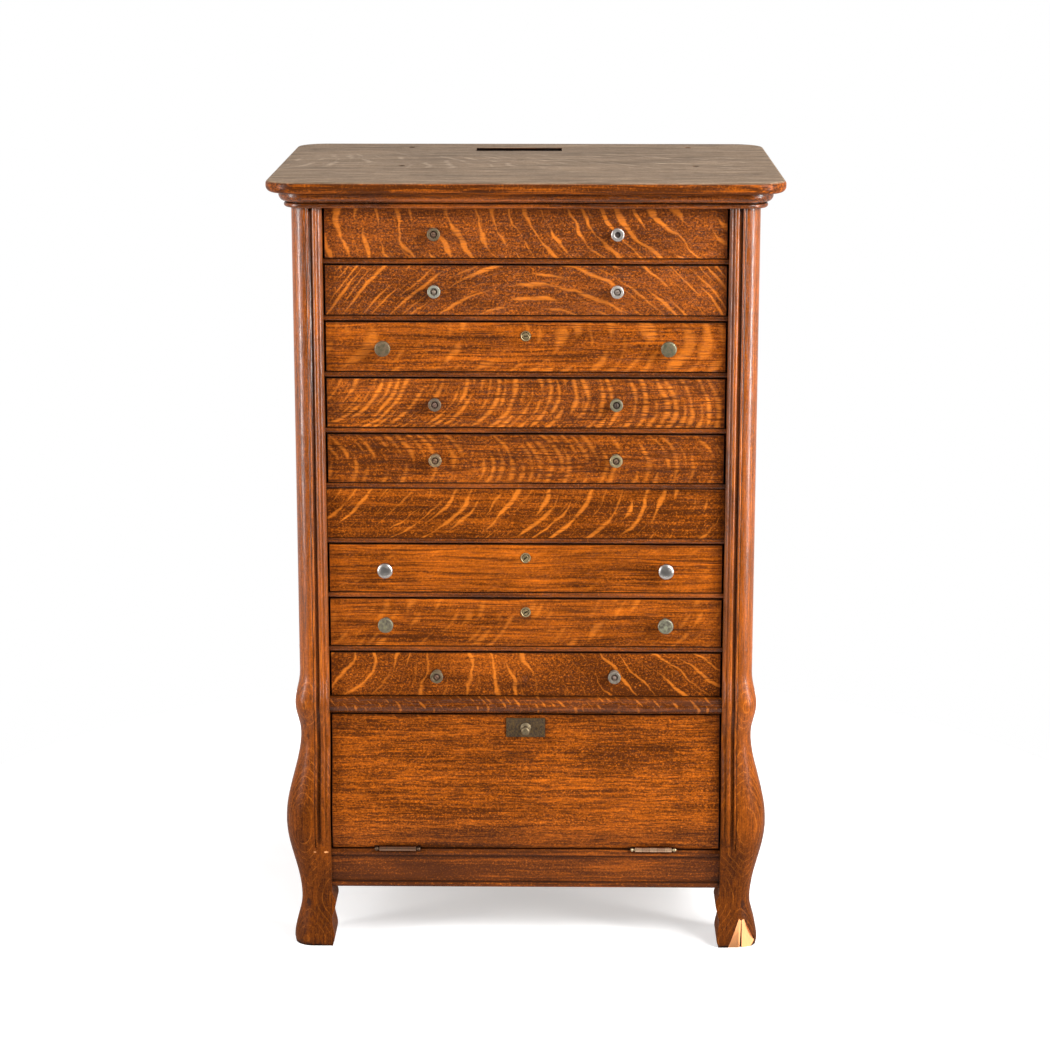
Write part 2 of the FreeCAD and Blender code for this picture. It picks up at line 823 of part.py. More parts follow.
def make_side_rails():
    length = "rear_post_face - post_back"
    start = "-(rear_post_face)"
    low = ("post_outer - side_rail_thickness", "post_back", "case_top - side_top_rail")
    top = between("SideTopRail", low, ("post_outer", "rear_post_face", "case_top"))
    waist = new_body("SideWaistRail")
    nosed_rail(waist, "SideWaist", "XZ_Plane", "side_plane", "side_waist_back", "panel_thickness",
               start, length)
    bottom = new_body("SideBottomRail")
    moulded_rail(bottom, "SideBottomRail", "XZ_Plane", "side_plane", "side_rail_drop", start, length)
    rails = [top, waist, bottom]
    mirrors = [mirrored(f"LeftSideRail{number}", rail) for number, rail in enumerate(rails, 1)]
    node("side_rails", group("SideRails", rails + mirrors))


def make_side_panels():
    """Flat panels above the waist and bulged ones below it."""
    upper = between("UpperSidePanel", ("side_inner", "post_back", "waist_top"),
                    ("side_plane", "rear_post_face", "case_top - side_top_rail"))
    lower = new_body("LowerSidePanel")
    levels = heights_between(DOOR_HEIGHTS, "rail_top", "waist_bottom")
    sections = []
    for number, level in enumerate(levels):
        face = f"side_plane + {door_bulge(level)}"
        sections.append(rectangle(lower, f"LowerSideAt{number}", "XY_Plane",
                                  (f"{face} - calf_panel_thickness", "post_back"),
                                  (face, "rear_post_face"), level))
    loft(lower, "LowerSideLoft", sections)
    mirrors = [mirrored(f"Left{panel.Name}", panel) for panel in (upper, lower)]
    node("side_panels", group("SidePanels", [upper, lower] + mirrors))


def make_top_rails():
    front = between("FrontTopRail", ("-(post_inner)", "post_face", "bays_top"),
                    ("post_inner", "post_face + top_rail_depth", "case_top"))
    low = ("-(post_inner)", "back_face - top_rail_depth + back_panel", "bays_top")
    rear = between("RearTopRail", low, ("post_inner", "back_face", "case_top"))
    node("top_rails", group("TopRails", [front, rear]))


def make_back_panel():
    node("back_panel", between("BackPanel", ("-(post_inner)", "back_face", "rail_bottom"),
                               ("post_inner", "case_back - back_recess", "case_top")))


def notched_board(name, top, thickness, front, side):
    """Board that fills the case in plan, notched around the four posts."""
    body = new_body(name)
    xs = ("post_inner", side)
    ys = (front, "post_back", "rear_post_face", "back_face")
    steps = ((0, 0), (0, 1), (1, 1), (1, 2), (0, 2), (0, 3))
    right = [(xs[across], ys[along]) for across, along in steps]
    left = [(f"-({x})", y) for x, y in reversed(right)]
    plan = outline(body, f"{name}Plan", "XY_Plane", right + left, top)
    pad(body, f"{name}Pad", plan, thickness, backwards=True)
    return body


def make_inner_boards():
    node("dust_board", notched_board("DustBoard", "ledge_bottom", "dust_board", "waist_back",
                                     "side_plane - side_waist_back"))
    node("cupboard_floor", notched_board("CupboardFloor", "rail_top", "cupboard_floor",
                                         "front_plane + rail_back", "side_plane - rail_back"))


# Dividers, runners, guides and stops, one level for each drawer

def level_top(number):
    """Top of the rail under a front, counted from the top; the last one is the waist rail."""
    if number == LAST_FRONT:
        return "waist_top"
    return f"bays_top - {number} * drawer_pitch + divider"


def front_top(number):
    return f"bays_top - {number - 1} * drawer_pitch - front_top_gap"


def front_bottom(number):
    height = "last_front_height" if number == LAST_FRONT else "front_height"
    return f"{front_top(number)} - {height}"


def make_divider(number):
    """Thin rail with a rounded front edge; under a lock it has the hole that the bolt enters."""
    body = new_body(f"Divider{number}")
    top = level_top(number)
    face = "front_plane - divider_proud"
    corners = [(f"{face} + divider / 2", f"{top} - divider"), (f"{face} + divider / 2", top),
               ("divider_back", top), ("divider_back", f"{top} - divider")]
    profile = outline(body, f"Divider{number}Profile", "YZ_Plane", corners, "-(post_inner)",
                      {0: ("divider / 2", -1)})
    pad(body, f"Divider{number}Pad", profile, "2 * post_inner")
    if number + 1 in LOCKED_FRONTS:
        low, high = bolt_plan("mortise_room")
        hole = rectangle(body, f"Divider{number}Mortise", "XY_Plane", low, high, f"{top} - divider")
        depth = "bolt_travel - front_top_gap + mortise_room"
        pocket(body, f"Divider{number}MortisePocket", hole, depth, backwards=True)
    return body


def make_dividers():
    rails = [make_divider(number) for number in range(1, LAST_FRONT)]
    node("drawer_dividers", group("DrawerDividers", rails))


def make_runners():
    """Runners under the drawer sides, and guides that stand on them beside the sides."""
    strips = []
    for number in range(1, LAST_FRONT + 1):
        top = level_top(number)
        low = ("side_inner - runner_width", "divider_back", f"{top} - divider")
        strips.append(between(f"Runner{number}", low, ("side_inner", "rear_post_face", top)))
        if number == BLANK_FRONT:
            continue
        low = ("side_outer + guide_clearance", "divider_back", top)
        strips.append(between(f"Guide{number}", low,
                              ("side_inner", "rear_post_face", f"{top} + guide_height")))
    mirrors = [mirrored(f"Left{strip.Name}", strip) for strip in strips]
    node("drawer_runners", group("DrawerRunners", strips + mirrors))


def make_stops():
    """Small blocks on the rails, behind the closed fronts and below the drawer bottoms."""
    stops = []
    for number in DRAWERS:
        low = ("stop_spacing / 2 - stop_width / 2", "front_plane + front_thickness + stop_clearance",
               level_top(number))
        stops.append(block(f"Stop{number}", low, ("stop_width", "stop_depth", "stop_height")))
    mirrors = [mirrored(f"Left{stop.Name}", stop) for stop in stops]
    node("drawer_stops", group("DrawerStops", stops + mirrors))


def make_blank_front():
    """The sixth front is fixed: it fills its bay and is held by two glued blocks behind it."""
    front = between("BlankFront", ("-(post_inner)", "front_plane", level_top(BLANK_FRONT)),
                    ("post_inner", "front_plane + front_thickness",
                     f"{level_top(BLANK_FRONT - 1)} - divider"))
    low = ("post_inner - blank_block", "front_plane + front_thickness", level_top(BLANK_FRONT))
    glued = block("BlankBlock", low, ("blank_block", "blank_block", "front_height"))
    node("blank_front", group("BlankFrontAndBlocks", [front, glued, mirrored("LeftBlankBlock", glued)]))


# Drawers

def knob_height(number):
    return f"(({front_bottom(number)}) + ({front_top(number)})) / 2"


def knob_style(number):
    return "large_knob" if number in LOCKED_FRONTS else "small_knob"


def lock_height(number):
    return f"{front_top(number)} - lock_drop"


def bolt_plan(room="0"):
    """Corners of the lock bolt in plan, with room all round it."""
    middle = "front_plane + front_thickness - lock_case_depth / 2"
    low = (f"-(bolt_width / 2) - ({room})", f"{middle} - bolt_thickness / 2 - ({room})")
    high = (f"bolt_width / 2 + {room}", f"{middle} + bolt_thickness / 2 + {room}")
    return low, high


def make_front(number):
    """Front with rabbets for the sides, a groove for the bottom and holes for the knobs."""
    name = f"Front{number}"
    body = new_body(name)
    low, high = front_bottom(number), front_top(number)
    rear = "front_plane + front_thickness"
    face = rectangle(body, f"{name}Face", "XZ_Plane", ("-(front_half)", low), ("front_half", high),
                     f"-({rear})")
    pad(body, f"{name}Pad", face, "front_thickness")
    rabbets = ((f"-(front_half) - {OVERRUN}", "-(box_inner)"), ("box_inner", f"front_half + {OVERRUN}"))
    for side, (left, right) in enumerate(rabbets, 1):
        rabbet = rectangle(body, f"{name}Rabbet{side}", "XZ_Plane", (left, f"{low} - {OVERRUN}"),
                           (right, f"{high} + {OVERRUN}"), f"-({rear})")
        depth = "front_thickness - front_rabbet"
        pocket(body, f"{name}RabbetPocket{side}", rabbet, depth, backwards=True)
    groove_low = f"{box_bottom(number)} + bottom_rise"
    groove = rectangle(body, f"{name}Groove", "XZ_Plane", ("-(box_inner)", groove_low),
                       ("box_inner", f"{groove_low} + bottom_thickness"), f"-({rear})")
    pocket(body, f"{name}GroovePocket", groove, "groove_depth", backwards=True)
    spacing = f"{knob_style(number)}_spacing / 2"
    height = knob_height(number)
    holes = circles(body, f"{name}Holes", "XZ_Plane", [(f"-({spacing})", height), (spacing, height)],
                    "knob_screw_radius", f"-({rear})")
    pocket(body, f"{name}HolePocket", holes, "front_thickness", backwards=True)
    if number in LOCKED_FRONTS:
        barrel = circles(body, f"{name}Barrel", "XZ_Plane", [("0", lock_height(number))],
                         "lock_barrel_radius", f"-({rear})")
        pocket(body, f"{name}BarrelPocket", barrel, "front_thickness", backwards=True)
        case = rectangle(body, f"{name}Case", "XZ_Plane",
                         ("-(lock_case_width) / 2", f"{high} - lock_case_height"),
                         ("lock_case_width / 2", f"{high} + {OVERRUN}"), f"-({rear})")
        pocket(body, f"{name}CasePocket", case, "lock_case_depth", backwards=True)
    return body


def box_bottom(number):
    return f"{level_top(number)} + runner_clearance"


def make_box(number):
    """Sides, back, bottom and, in a locking drawer, the till dividers."""
    low = box_bottom(number)
    bottom_low = f"{low} + bottom_rise"
    bottom_high = f"{bottom_low} + bottom_thickness"
    name = f"Drawer{number}"
    side = block(f"{name}SideBoard", ("box_inner", "box_start", low),
                 ("side_thickness", "box_end - box_start", "side_height"))
    groove = between(f"{name}SideGroove",
                     (f"box_inner - {OVERRUN}", f"box_start - {OVERRUN}", bottom_low),
                     ("box_inner + groove_depth", f"box_end + {OVERRUN}", bottom_high))
    side = cut(f"{name}Side", side, [groove])
    bottom_start = "front_plane + front_thickness - groove_depth"
    bottom = between(f"{name}Bottom", ("-(box_inner) - groove_depth", bottom_start, bottom_low),
                     ("box_inner + groove_depth", "box_end - back_inset", bottom_high))
    back_start = "box_end - back_inset - back_thickness"
    back = between(f"{name}Back", ("-(box_inner)", back_start, bottom_high),
                   ("box_inner", "box_end - back_inset", f"{low} + side_height - back_drop"))
    boards = [side, mirrored(f"{name}LeftSide", side), bottom, back]
    if number in LOCKED_FRONTS:
        across = "front_plane + front_thickness + coin_row"
        top = f"{bottom_high} + till_height"
        boards.append(between(f"{name}CrossDivider", ("-(box_inner)", across, bottom_high),
                              ("box_inner", f"{across} + till_divider", top)))
        for share in (-1, 0, 1):
            middle = f"{share} * box_inner / 2"
            corner = (f"{middle} - till_divider / 2", f"{across} + till_divider", bottom_high)
            boards.append(between(f"{name}BillDivider{share + 2}", corner,
                                  (f"{middle} + till_divider / 2", back_start, top)))
    return group(f"{name}Box", boards)


def knob_profile(body, name, style):
    """Half outline of a knob turned about the Y axis, with its foot at y = 0."""
    radius, front = f"{style}_radius", f"-({style}_reach)"
    hole = "knob_screw_radius"
    if style == "large_knob":
        face = [(hole, front), (f"{radius} - knob_face_inset", front),
                (radius, f"{front} + large_knob_dome")]
    else:
        floor = f"{front} + knob_cup_depth"
        face = [(hole, floor), ("small_knob_cup", floor), ("small_knob_cup", front),
                (f"{radius} - knob_edge", front), (radius, f"{front} + knob_edge")]
    back = [(radius, f"{front} + knob_rim"), ("knob_stem_radius", f"{front} + knob_neck"),
            ("knob_stem_radius", "-(knob_foot_height)"), ("knob_foot_radius", "-(knob_foot_edge)"),
            ("knob_foot_radius", "0"), (hole, "0")]
    return outline(body, f"{name}Profile", "XY_Plane", face + back)


def make_knobs(number):
    """Two turned knobs, each held by a machine screw from inside the drawer."""
    style = knob_style(number)
    name = f"Knob{number}"
    body = new_body(name)
    turned(body, f"{name}Turning", knob_profile(body, name, style), "Y_Axis")
    x, z = f"{style}_spacing / 2", knob_height(number)
    place(body, x, "front_plane", z)
    entry = f"({style}_reach - knob_rim)"
    shank = rod(f"{name}Shank", "knob_screw_radius", f"front_thickness + {entry}",
                (x, f"front_plane - {entry}", z))
    head = rod(f"{name}Head", "knob_screw_head", "knob_screw_head_height",
               (x, "front_plane + front_thickness", z))
    screw = joined(f"{name}Screw", [shank, head])
    return [body, mirrored(f"{name}Left", body), screw, mirrored(f"{name}ScrewLeft", screw)]


def make_lock_case(number):
    """Ring and barrel through the front, and the case that guides the bolt."""
    name = f"Lock{number}"
    z = lock_height(number)
    top = front_top(number)
    rear = "front_plane + front_thickness"
    barrel_length = "front_thickness - lock_case_depth"
    ring_face = "front_plane - lock_ring_proud"
    ring = rod(f"{name}Ring", "lock_ring_radius", "lock_ring_proud", ("0", ring_face, z))
    barrel = rod(f"{name}Barrel", "lock_barrel_radius", barrel_length, ("0", "front_plane", z))
    corner = ("-(lock_case_width) / 2", f"{rear} - lock_case_depth", f"{top} - lock_case_height")
    case = between(f"{name}Case", corner, ("lock_case_width / 2", rear, top))
    bore = rod(f"{name}Bore", "plug_radius + plug_fit", f"{barrel_length} + lock_ring_proud + 2 * {OVERRUN}",
               ("0", f"{ring_face} - {OVERRUN}", z))
    low, high = bolt_plan("bolt_fit")
    channel = between(f"{name}Channel", (*low, f"{top} - bolt_flush - bolt_height - bolt_fit"),
                      (*high, f"{top} + {OVERRUN}"))
    solid = joined(f"{name}Solid", [ring, barrel, case])
    return cut(f"{name}Shell", solid, [bore, channel])


def make_lock(number, rest_turn):
    """Turning plug with its key slot, and the bolt that it lifts into the rail above."""
    name = f"Plug{number}"
    body = new_body(name)
    length = "front_thickness - lock_case_depth + lock_ring_proud - plug_end_gap"
    disc = circles(body, f"{name}Round", "XZ_Plane", [("0", "0")], "plug_radius")
    pad(body, f"{name}Pad", disc, length, backwards=True)
    slot = rectangle(body, f"{name}Slot", "XZ_Plane",
                     ("-(key_slot_length) / 2", "-(key_slot_width) / 2"),
                     ("key_slot_length / 2", "key_slot_width / 2"))
    pocket(body, f"{name}SlotPocket", slot, "key_slot_depth")
    body.Placement = Placement(Vector(), Rotation(Vector(0, -1, 0), rest_turn))
    place(body, "0", "front_plane - lock_ring_proud", lock_height(number))
    node(f"drawer_{number}_lock_plug", body)

    low, high = bolt_plan()
    top = f"{front_top(number)} - bolt_flush"
    node(f"drawer_{number}_lock_bolt",
         between(f"Bolt{number}", (*low, f"{top} - bolt_height"), (*high, top)))


def make_drawers():
    for number in DRAWERS:
        node(f"drawer_{number}_front", make_front(number))
        node(f"drawer_{number}_box", make_box(number))
        node(f"drawer_{number}_knobs", group(f"KnobSet{number}", make_knobs(number)))
    for number, rest_turn in LOCKED_FRONTS.items():
        node(f"drawer_{number}_lock_case", make_lock_case(number))
        make_lock(number, rest_turn)


# Door, hinges and latch

def make_door():
    body = new_body("Door")
    levels = heights_between(DOOR_HEIGHTS, "door_bottom", "door_top")
    sections = []
    for number, level in enumerate(levels):
        face = f"front_plane - {door_bulge(level)}"
        sections.append(rectangle(body, f"DoorAt{number}", "XY_Plane", ("-(door_half)", face),
                                  ("door_half", f"{face} + door_thickness"), level))
    loft(body, "DoorLoft", sections)
    start, end = "front_plane + door_bevel_start", f"door_back + {OVERRUN}"
    above = f"door_top + {OVERRUN}"
    corners = [(start, "door_top"), (end, "door_top - door_bevel"), (end, above), (start, above)]
    bevel = outline(body, "TopBevel", "YZ_Plane", corners, f"-(door_half) - {OVERRUN}")
    pocket(body, "TopBevelPocket", bevel, f"2 * door_half + 2 * {OVERRUN}", backwards=True)
    hinge_seats(body, "Door", "door_bottom", backwards=True)
    spindle = circles(body, "SpindleHole", "XZ_Plane", [("0", "latch_z")], "spindle_radius + spindle_fit",
                      f"-(door_back) - {OVERRUN}")
    pocket(body, "SpindleHolePocket", spindle, f"door_thickness + 2 * {OVERRUN}", backwards=True)
    node("door_panel", body)



def hinge_leaf(name, level, knuckles):
    """One leaf with its share of the five knuckles, bored for the pin."""
    start = "hinge_spacing / 2 - hinge_length / 2"
    plate = block(f"{name}Plate", (start, "hinge_axis", level),
                  ("hinge_length", "leaf_length", "hinge_leaf"))
    pitch = f"hinge_length / {KNUCKLES}"
    barrels, windows = [], []
    for number in range(KNUCKLES):
        left = f"{start} + {number} * {pitch}"
        if number in knuckles:
            barrels.append(rod(f"{name}Knuckle{number}", "knuckle_radius", f"{pitch} - knuckle_gap",
                               (f"{left} + knuckle_gap / 2", "hinge_axis", "hinge_height"), "x"))
        else:
            corner = (left, f"hinge_axis - {OVERRUN}", f"{level} - {OVERRUN}")
            windows.append(block(f"{name}Window{number}", corner,
                                 (pitch, "knuckle_radius + knuckle_room", f"hinge_leaf + 2 * {OVERRUN}")))
    bore = rod(f"{name}Bore", "hinge_pin_radius + hinge_fit", f"hinge_length + 2 * {OVERRUN}",
               (f"{start} - {OVERRUN}", "hinge_axis", "hinge_height"), "x")
    holes = [rod(f"{name}Hole{number}", "screw_radius", f"hinge_leaf + 2 * {OVERRUN}",
                 (x, y, f"{level} - {OVERRUN}"), "z")
             for number, (x, y) in enumerate(hinge_screw_places())]
    plate = cut(f"{name}Cutaway", plate, windows)
    leaf = joined(f"{name}Joined", [plate] + barrels)
    return cut(name, leaf, [bore] + holes)


def hinge_screw_places():
    row = "hinge_axis + hinge_screw_row"
    return [(f"hinge_spacing / 2 + {step} * hinge_screw_spacing", row) for step in (-1, 0, 1)]


def hinge_screws(name, level, upward):
    """Three wood screws for one leaf, with flat heads on it."""
    screws = []
    for number, (x, y) in enumerate(hinge_screw_places()):
        head_level = f"{level} - screw_head_height" if upward else level
        shank_level = level if upward else f"{level} - hinge_screw_length"
        head = rod(f"{name}Head{number}", "screw_head_radius", "screw_head_height", (x, y, head_level), "z")
        shank = rod(f"{name}Shank{number}", "screw_radius", "hinge_screw_length", (x, y, shank_level), "z")
        screws.append(joined(f"{name}{number}", [head, shank]))
    return group(name, screws)


def make_hinges():
    """Five-knuckle butt hinges with ball-tipped pins, knuckles out at the front."""
    frame = hinge_leaf("FrameLeaf", "rail_top - hinge_leaf", (0, 2, 4))
    door = hinge_leaf("DoorLeaf", "door_bottom", (1, 3))
    node("hinge_frame_leaves", pair("FrameLeaves", frame))
    node("hinge_door_leaves", pair("DoorLeaves", door))
    node("hinge_frame_screws", pair("FrameScrews", hinge_screws("FrameScrew", "rail_top", False)))
    node("hinge_door_screws", pair("DoorScrews", hinge_screws("DoorScrew", "door_bottom", True)))

    start = "hinge_spacing / 2 - hinge_length / 2"
    shaft = rod("PinShaft", "hinge_pin_radius", "hinge_length + 2 * pin_overrun",
                (f"{start} - pin_overrun", "hinge_axis", "hinge_height"), "x")
    ends = (f"{start} - pin_overrun - hinge_ball / 2",
            f"{start} + hinge_length + pin_overrun + hinge_ball / 2")
    balls = []
    for number, x in enumerate(ends, 1):
        ball = doc.addObject("Part::Sphere", f"PinBall{number}")
        ball.setExpression("Radius", bind("hinge_ball"))
        balls.append(place(ball, x, "hinge_axis", "hinge_height"))
    node("hinge_pins", pair("Pins", joined("Pin", [shaft] + balls)))


def make_latch():
    """Plate with two nails on the door, a turning knob, the cam behind it and its strike."""
    body = new_body("LatchPlate")
    plate = rectangle(body, "LatchPlateFace", "XZ_Plane",
                      ("-(latch_width) / 2", "latch_z - latch_height / 2"),
                      ("latch_width / 2", "latch_z + latch_height / 2"), "-(latch_seat)")
    pad(body, "LatchPlatePad", plate, "latch_thickness")
    hole = circles(body, "LatchPlateHole", "XZ_Plane", [("0", "latch_z")], "spindle_radius + spindle_fit",
                   "-(latch_seat)")
    pocket(body, "LatchPlateHolePocket", hole, "latch_thickness", backwards=True)
    nails = [rod(f"LatchNail{number}", "nail_radius", "nail_head",
                 (f"{sign} latch_nail_spacing / 2", "latch_face - nail_head", "latch_z"))
             for number, sign in enumerate(("-", "+"), 1)]
    node("latch_plate", group("LatchPlateAndNails", [body] + nails))

    knob = new_body("LatchKnob")
    tip, foot = "latch_face - latch_reach", "latch_face - latch_base_gap"
    end = "door_back + cam_clearance"
    corners = [
        ("0", tip), ("latch_knob_radius - latch_knob_edge", tip),
        ("latch_knob_radius", f"{tip} + latch_knob_edge"), ("latch_knob_radius", f"{tip} + latch_knob_rim"),
        ("spindle_radius", f"{tip} + latch_neck"), ("spindle_radius", "latch_face - latch_base_height"),
        ("latch_base_radius", "latch_face - latch_base_edge"), ("latch_base_radius", foot),
        ("spindle_radius", foot), ("spindle_radius", end), ("0", end),
    ]
    profile = outline(knob, "LatchKnobProfile", "XY_Plane", corners)
    turned(knob, "LatchKnobTurning", profile, "Y_Axis")
    place(knob, z="latch_z")
    cam_root = rod("CamRoot", "cam_width / 2", "cam_thickness", ("0", end, "latch_z"))
    cam_arm = between("CamArm", ("-(cam_length)", end, "latch_z - cam_width / 2"),
                      ("0", f"{end} + cam_thickness", "latch_z + cam_width / 2"))
    cam = joined("Cam", [cam_root, cam_arm])
    node("latch_knob", group("LatchKnobAndCam", [knob, cam]))

    node("latch_strike", between("Strike", ("-(strike_width) / 2", "waist_back", "waist_bottom"),
                                 ("strike_width / 2", "waist_back + strike_thickness",
                                  "waist_bottom + strike_height")))


def finish():
    """Check every object and every sub-part, then write one file for each sub-part."""
    doc.recompute()
    for item in doc.Objects:
        if "Invalid" in item.State or "Error" in item.State:
            raise RuntimeError(f"{item.Name} failed: {item.State}")
    for piece in NODES:
        shape = piece.Shape
        if shape.isNull() or not shape.isValid() or not shape.Solids:
            raise RuntimeError(f"{piece.Label} has no valid shape")
    os.makedirs("parts", exist_ok=True)
    for piece in NODES:
        piece.Shape.exportStep(f"parts/{piece.Label}.step")
    print(f"{len(NODES)} sub-parts written")


make_top_board()
make_cornice()
make_front_legs()
make_rear_legs()
make_waist_rail()
make_bottom_rail()
make_side_rails()
make_side_panels()
make_top_rails()
make_back_panel()
make_inner_boards()
make_dividers()
make_runners()
make_stops()
make_blank_front()
make_drawers()
make_door()
make_hinges()
make_latch()
finish()
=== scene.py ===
import json
from math import pi, radians

import bmesh
import bpy
from bpy.props import FloatProperty, FloatVectorProperty, PointerProperty
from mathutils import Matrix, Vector

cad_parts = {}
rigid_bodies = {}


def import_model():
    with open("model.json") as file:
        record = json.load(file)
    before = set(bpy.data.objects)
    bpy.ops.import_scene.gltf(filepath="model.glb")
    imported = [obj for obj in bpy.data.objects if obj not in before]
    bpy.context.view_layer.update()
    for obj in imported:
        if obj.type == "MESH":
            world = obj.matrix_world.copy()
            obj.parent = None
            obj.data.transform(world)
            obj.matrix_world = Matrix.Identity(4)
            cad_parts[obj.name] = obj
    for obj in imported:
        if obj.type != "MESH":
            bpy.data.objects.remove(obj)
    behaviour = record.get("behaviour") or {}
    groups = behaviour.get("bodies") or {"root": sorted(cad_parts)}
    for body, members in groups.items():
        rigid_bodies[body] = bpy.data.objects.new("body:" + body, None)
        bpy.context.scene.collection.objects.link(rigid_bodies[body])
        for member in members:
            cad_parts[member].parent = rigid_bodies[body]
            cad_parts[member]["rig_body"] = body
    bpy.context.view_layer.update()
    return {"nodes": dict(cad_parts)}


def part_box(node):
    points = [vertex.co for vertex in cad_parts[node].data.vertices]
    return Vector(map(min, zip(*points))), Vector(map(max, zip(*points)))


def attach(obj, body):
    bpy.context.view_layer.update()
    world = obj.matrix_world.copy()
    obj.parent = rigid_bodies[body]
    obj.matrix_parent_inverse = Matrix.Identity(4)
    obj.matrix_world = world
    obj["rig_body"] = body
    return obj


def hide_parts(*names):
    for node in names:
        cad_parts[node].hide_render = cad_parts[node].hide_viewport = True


bl_info = {
    "name": "Register base",
    "version": (1, 0, 0),
    "blender": (4, 5, 0),
    "location": "3D View > Sidebar > Register base",
    "description": "Dresses the oak base of a shop register with its timber, metalwork and stage",
    "category": "Object",
}

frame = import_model()
MM = 0.001
DRAWERS = (1, 2, 3, 4, 5, 7, 8, 9)
BLANK = 6

# How fast the dark lines of plain oak change along and across the grain, for each millimetre.
FINE = (0.020, 0.36)

# The look of figured oak, by the number of a front or the name of another piece. figure is (a, b, c, d, e): the
# streaks lie where a*x + b*z + c*x*z + d*z*z + e*x*x is constant, with x along the grain and z across it from
# the piece's middle. gap is from streak to streak, length and width are a streak's, and soft is how far its
# edge fades, all in millimetres. cover is how much of its line a streak fills, and strength how bright it is.
# pores says how open the pores are, lightness how little stain the wood took, bands and mottle how strong the
# growth bands and the small marks are, and gloss how the varnish shines. grain takes the place of FINE.
COLUMNS = ("figure", "gap", "length", "width", "cover", "soft", "strength", "pores", "lightness", "bands",
           "mottle", "gloss", "grain")
FIGURED = {
    1: ((1, 0.62, 0.0017, -0.005, 0), 26, 70, 10, 0.82, 2.4, 0.80, 0.35, 0.12, 0.4, 1.6, 0.26, FINE),
    2: ((-0.05, 1, 0, 0, 0.0026), 14, 60, 7.5, 0.70, 2.2, 0.80, 0.35, 0.11, 0.4, 1.6, 0.26, FINE),
    3: ((1, -0.5, 0.001, 0.014, 0), 25, 42, 22, 0.70, 6, 0.62, 0.80, 0.40, 1.4, 1.3, 0.14, (0.011, 0.50)),
    4: ((1, -0.45, 0.0026, 0.01, 0), 12, 42, 9.5, 0.90, 3.4, 0.88, 0.95, 0.20, 0.8, 1.6, 0.18, (0.02, 0.50)),
    5: ((1, 0.3, 0, 0.014, 0), 13, 45, 9, 0.82, 3.4, 0.60, 1.0, 0.16, 0.8, 1.5, 0.13, (0.018, 0.50)),
    6: ((1, -0.85, 0.0018, 0.008, 0), 21, 60, 9.5, 0.74, 2.8, 0.78, 0.60, 0.12, 1.1, 1.3, 0.07, FINE),
    7: ((1, -1.4, 0, 0, 0), 15, 40, 11, 0.55, 6, 0.32, 0.95, 0.46, 1.4, 1.0, 0.09, (0.009, 0.55)),
    8: ((1, -0.75, 0, 0.006, 0), 16, 45, 13, 0.68, 4.5, 0.52, 0.90, 0.36, 1.3, 1.1, 0.10, (0.011, 0.50)),
    9: ((1, 0.38, 0.004, 0.006, 0), 29, 85, 8, 0.84, 2.2, 0.80, 0.35, 0.14, 0.4, 1.5, 0.09, FINE),
    "top": ((1, 0.55, 0.0022, 0.002, 0), 26, 60, 14, 0.72, 7, 0.8, 0.9, 0.12, 1.9, 0.9, 0.1, (0.012, 0.22)),
    "side_panels": ((0.55, 1, 0.0006, 0, 0), 30, 60, 11, 0.66, 2.5, 0.8, 0.45, 0.16, 0.6, 1.2, 0.2, FINE),
    "waist": ((1, 0.6, 0, 0.045, 0), 12, 16, 5.5, 0.62, 1.6, 0.55, 0.6, -0.08, 0.7, 0.8, 0.22, FINE),
    "door": ((0.25, 1, 0, 0, 0), 9, 26, 5, 0.50, 3, 0.35, 1.0, 0.28, 1.2, 1.4, 0.07, (0.045, 0.60)),
}


def figured(key):
    return dict(zip(COLUMNS, FIGURED[key]))


def colour(name, description, default):
    return FloatVectorProperty(name=name, description=description, default=default, subtype="COLOR",
                               size=3, min=0.0, max=1.0)


def amount(name, description, default, **limits):
    return FloatProperty(name=name, description=description, default=default, **limits)


class BASE_PG_timber(bpy.types.PropertyGroup):
    """The colours and the finish of the oak."""
    ground: colour("Ground", "Brown of the stained oak between the figure", (0.138, 0.032, 0.0040))
    light: colour("Light ground", "Oak where the stain took less", (0.465, 0.103, 0.0050))
    ray: colour("Ray figure", "Bright bands of the quarter-sawn figure", (0.660, 0.178, 0.0160))
    pore: colour("Pores", "Dark lines of the open pores", (0.030, 0.009, 0.003))
    # A dark colour painted as shade in the joints, gaps, grooves and recesses.
    dirt: colour("Dirt", "Old dirt in the joints and corners", (0.010, 0.004, 0.002))
    raw: colour("Raw oak", "Bare wood of the chipped foot", (0.830, 0.360, 0.130))
    # The worn top: paler and greyer partly from wear and partly as a painted sheen of the varnish.
    faded: colour("Faded top", "Oak of the worn register top", (0.240, 0.160, 0.098))
    faded_ray: colour("Faded figure", "Figure of the worn register top", (0.560, 0.420, 0.300))
    secondary: colour("Plain wood", "Unfinished wood inside the case", (0.330, 0.175, 0.070))
    varnish: amount("Varnish", "Weight of the varnish coat", 0.10, min=0.0, max=1.0, subtype="FACTOR")
    wear: amount("Edge wear", "Width of the worn band along the edges", 1.0 * MM, min=0.0, max=5 * MM,
                 unit="LENGTH")
    easing: amount("Eased edge", "Rounding of the drawer fronts' edges", 1.1 * MM, min=0.1 * MM, max=3 * MM,
                   unit="LENGTH")


